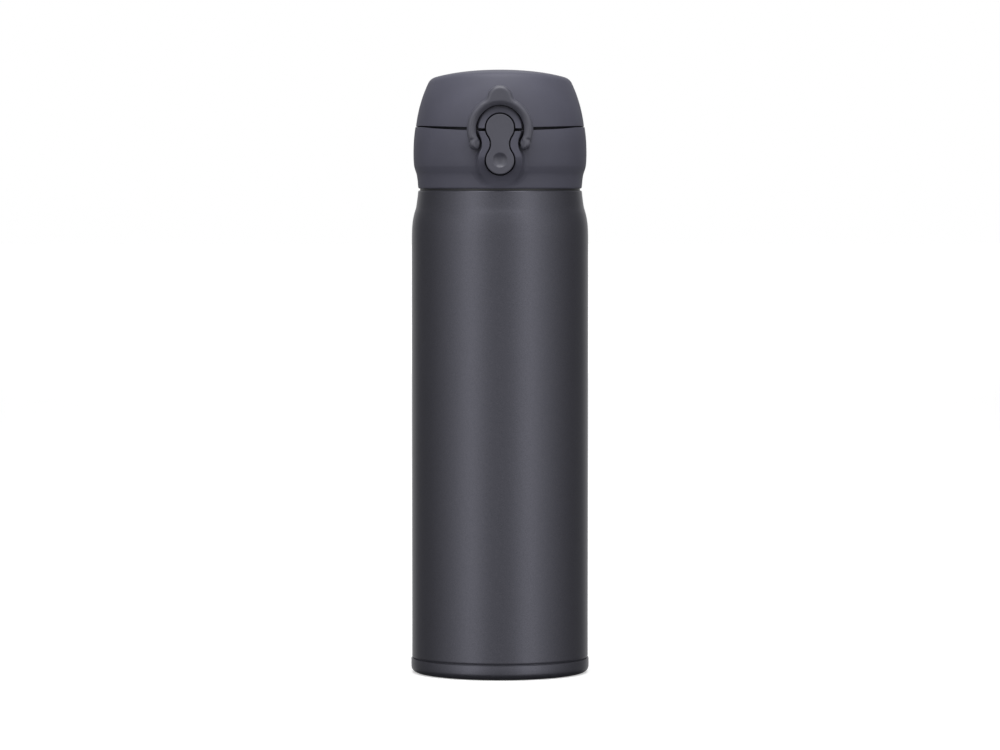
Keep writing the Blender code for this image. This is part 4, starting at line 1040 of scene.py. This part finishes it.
# ---------- build, and tie each piece to the frame
body_of = {node: body for body, nodes in frame["record"]["behaviour"]["bodies"].items() for node in nodes}
pieces = {
    "outer_shell": (make_outer_shell(), "painted_steel"),
    "outer_base": (make_outer_base(), "painted_steel"),
    "inner_vessel": (make_inner_vessel(), "bare_steel"),
    "stopper_cover": (make_stopper_cover(), "cap_plastic"),
    "lid_shell": (make_lid(), "cap_plastic"),
    "open_button": (make_button(), "latch_plastic"),
    "lock_ring": (make_ring(), "latch_plastic"),
    "spout_insert": (make_spout_insert(), "inner_plastic"),
    "lid_liner": (make_lid_liner(), "inner_plastic"),
    "stopper_gasket": (make_seal("stopper_gasket", 3.7 * MM), "silicone"),
    "lid_gasket": (make_seal("lid_gasket", 4.4 * MM), "silicone"),
    "hinge_pin": (make_pin("hinge_pin", 1.0 * MM, 9.7 * MM, WIRE_STEEL), "spring_steel"),
    "button_pin": (make_pin("button_pin", 0.8 * MM, 5.55 * MM, DARK_STEEL), "spring_steel"),
    "lid_spring": (make_coil("lid_spring_visual", lid_spring_points(), 0.3 * MM), "spring_steel"),
    "button_spring": (make_coil("button_spring_visual", button_spring_points(), 0.25 * MM), "spring_steel"),
}
for node, (piece, finish) in pieces.items():
    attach(piece, body_of[node])
    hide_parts(node)
hidden = {"inner_base": STEEL, "evacuation_seal": STEEL, "getter": STEEL, "radiation_foil": FOIL}
for node, finish in hidden.items():
    frame["nodes"][node].data.materials.clear()
    frame["nodes"][node].data.materials.append(finish)


# ---------- studio
FLOOR_HALF = 12.0
FLOOR_GLOW = 0.42
TENT_RADIUS, TENT_LOW_Z, TENT_HIGH_Z = 2.6, -0.75, 4.6
TENT_STRENGTH = 1.9
SOFTBOX_PLACE, SOFTBOX_TARGET = (0.0, -0.35, 1.5), (0.0, 0.0, 0.15)
SOFTBOX_SIZE, SOFTBOX_POWER = (1.2, 1.0), 15.0
CAMERA_PLACE = (0.0, -1.6123, 0.17756)
CAMERA_TILT = 2.441
CAMERA_LENS = 158.8

# The tent's brightness by heading from the front in degrees, the same on both sides
TENT_TONES = ((0, 0.25), (16, 0.30), (37, 0.80), (58, 0.40), (80, 0.20), (105, 0.07), (135, 0.06),
              (160, 0.28), (180, 0.34))
# The sky's brightness by height, from straight down to straight up
SKY_TONES = ((-1, 0.03), (-0.14, 0.03), (-0.06, 1.0), (0.6, 1.0), (0.85, 0.35), (1, 0.35))


def tone_ramp(tree, factor, marks):
    """Grey tones at marked places along a factor."""
    made = add_node(tree, "ShaderNodeValToRGB", {"Fac": factor})
    elements = made.color_ramp.elements
    for index, (place, tone) in enumerate((marks[0], marks[-1], *marks[1:-1])):
        element = elements[index] if index < 2 else elements.new(place)
        element.position = place
        element.color = (tone, tone, tone, 1.0)
    return made.outputs["Color"]


def floor_paper(colour, roughness):
    """White paper that glows a little, so that it stays white to the edges."""
    made, tree, shader = new_material("floor_paper")
    grain = noise(tree, object_place(tree), 3.0, 2.0)
    tree.links.new(ramp(tree, grain, shade(colour, 0.99), colour), shader.inputs["Base Color"])
    shader.inputs["Roughness"].default_value = roughness
    shader.inputs["Emission Color"].default_value = (1.0, 1.0, 1.0, 1.0)
    shader.inputs["Emission Strength"].default_value = FLOOR_GLOW
    return made


def add_floor():
    """The floor takes the flask's soft shadow, and neither lights the flask nor shades it."""
    corners = [(x * FLOOR_HALF, y * FLOOR_HALF, 0) for x, y in ((-1, -1), (1, -1), (1, 1), (-1, 1))]
    mesh = mesh_from("floor", corners, [(0, 1, 2, 3)])
    floor = add_object("floor", mesh, floor_paper((0.93, 0.93, 0.93), 0.6))
    floor.visible_diffuse = False
    floor.visible_glossy = False
    floor.visible_shadow = False


def add_light_tent():
    """A ring of soft light round the flask, brighter and darker by heading, that the camera doesn't see."""
    steps = 96
    ring = [ring_point(TENT_RADIUS, n / steps) for n in range(steps)]
    points = [(*place, z) for z in (TENT_LOW_Z, TENT_HIGH_Z) for place in ring]
    faces = [(n, (n + 1) % steps, steps + (n + 1) % steps, steps + n) for n in range(steps)]
    made = bpy.data.materials.new("tent_light")
    made.use_nodes = True
    tree = made.node_tree
    tree.nodes.clear()
    place = add_node(tree, "ShaderNodeSeparateXYZ", {"Vector": object_place(tree)}).outputs
    side = add_node(tree, "ShaderNodeMath", {0: place["X"]}, operation="ABSOLUTE").outputs[0]
    front = add_node(tree, "ShaderNodeMath", {0: place["Y"], 1: -1.0}, operation="MULTIPLY").outputs[0]
    heading = add_node(tree, "ShaderNodeMath", {0: side, 1: front}, operation="ARCTAN2").outputs[0]
    share = add_node(tree, "ShaderNodeMath", {0: heading, 1: math.pi}, operation="DIVIDE").outputs[0]
    tones = tone_ramp(tree, share, [(degrees / 180, tone) for degrees, tone in TENT_TONES])
    light = add_node(tree, "ShaderNodeEmission", {"Color": tones, "Strength": TENT_STRENGTH})
    add_node(tree, "ShaderNodeOutputMaterial", {"Surface": light.outputs["Emission"]})
    tent = add_object("light_tent", mesh_from("light_tent", points, faces), made)
    tent.visible_camera = False
    tent.visible_shadow = False


def add_world():
    """A white backdrop up to the tent's top, dim overhead and nearly black below the floor."""
    world = bpy.data.worlds.new("studio")
    world.use_nodes = True
    tree = world.node_tree
    place = tree.nodes.new("ShaderNodeTexCoord").outputs["Generated"]
    height = add_node(tree, "ShaderNodeSeparateXYZ", {"Vector": place}).outputs["Z"]
    share = add_node(tree, "ShaderNodeMapRange", {"Value": height, "From Min": -1.0}).outputs["Result"]
    sky = tone_ramp(tree, share, [((level + 1) / 2, tone) for level, tone in SKY_TONES])
    tree.links.new(sky, tree.nodes["Background"].inputs["Color"])
    bpy.context.scene.world = world


def add_softbox():
    light = bpy.data.lights.new("top_softbox", "AREA")
    light.shape = "RECTANGLE"
    light.size, light.size_y = SOFTBOX_SIZE
    light.energy = SOFTBOX_POWER
    made = bpy.data.objects.new("top_softbox", light)
    bpy.context.scene.collection.objects.link(made)
    made.location = SOFTBOX_PLACE
    aim = Vector(SOFTBOX_TARGET) - Vector(SOFTBOX_PLACE)
    made.rotation_euler = aim.to_track_quat("-Z", "Y").to_euler()
    made.visible_camera = False


def add_camera():
    data = bpy.data.cameras.new("camera")
    data.sensor_width = 36.0
    data.lens = CAMERA_LENS
    data.clip_start = 0.05
    camera = bpy.data.objects.new("camera", data)
    bpy.context.scene.collection.objects.link(camera)
    camera.location = CAMERA_PLACE
    camera.rotation_euler = (math.radians(90 - CAMERA_TILT), 0.0, 0.0)
    bpy.context.scene.camera = camera


add_floor()
add_light_tent()
add_world()
add_softbox()
add_camera()
bpy.context.scene.view_settings.view_transform = "Standard"
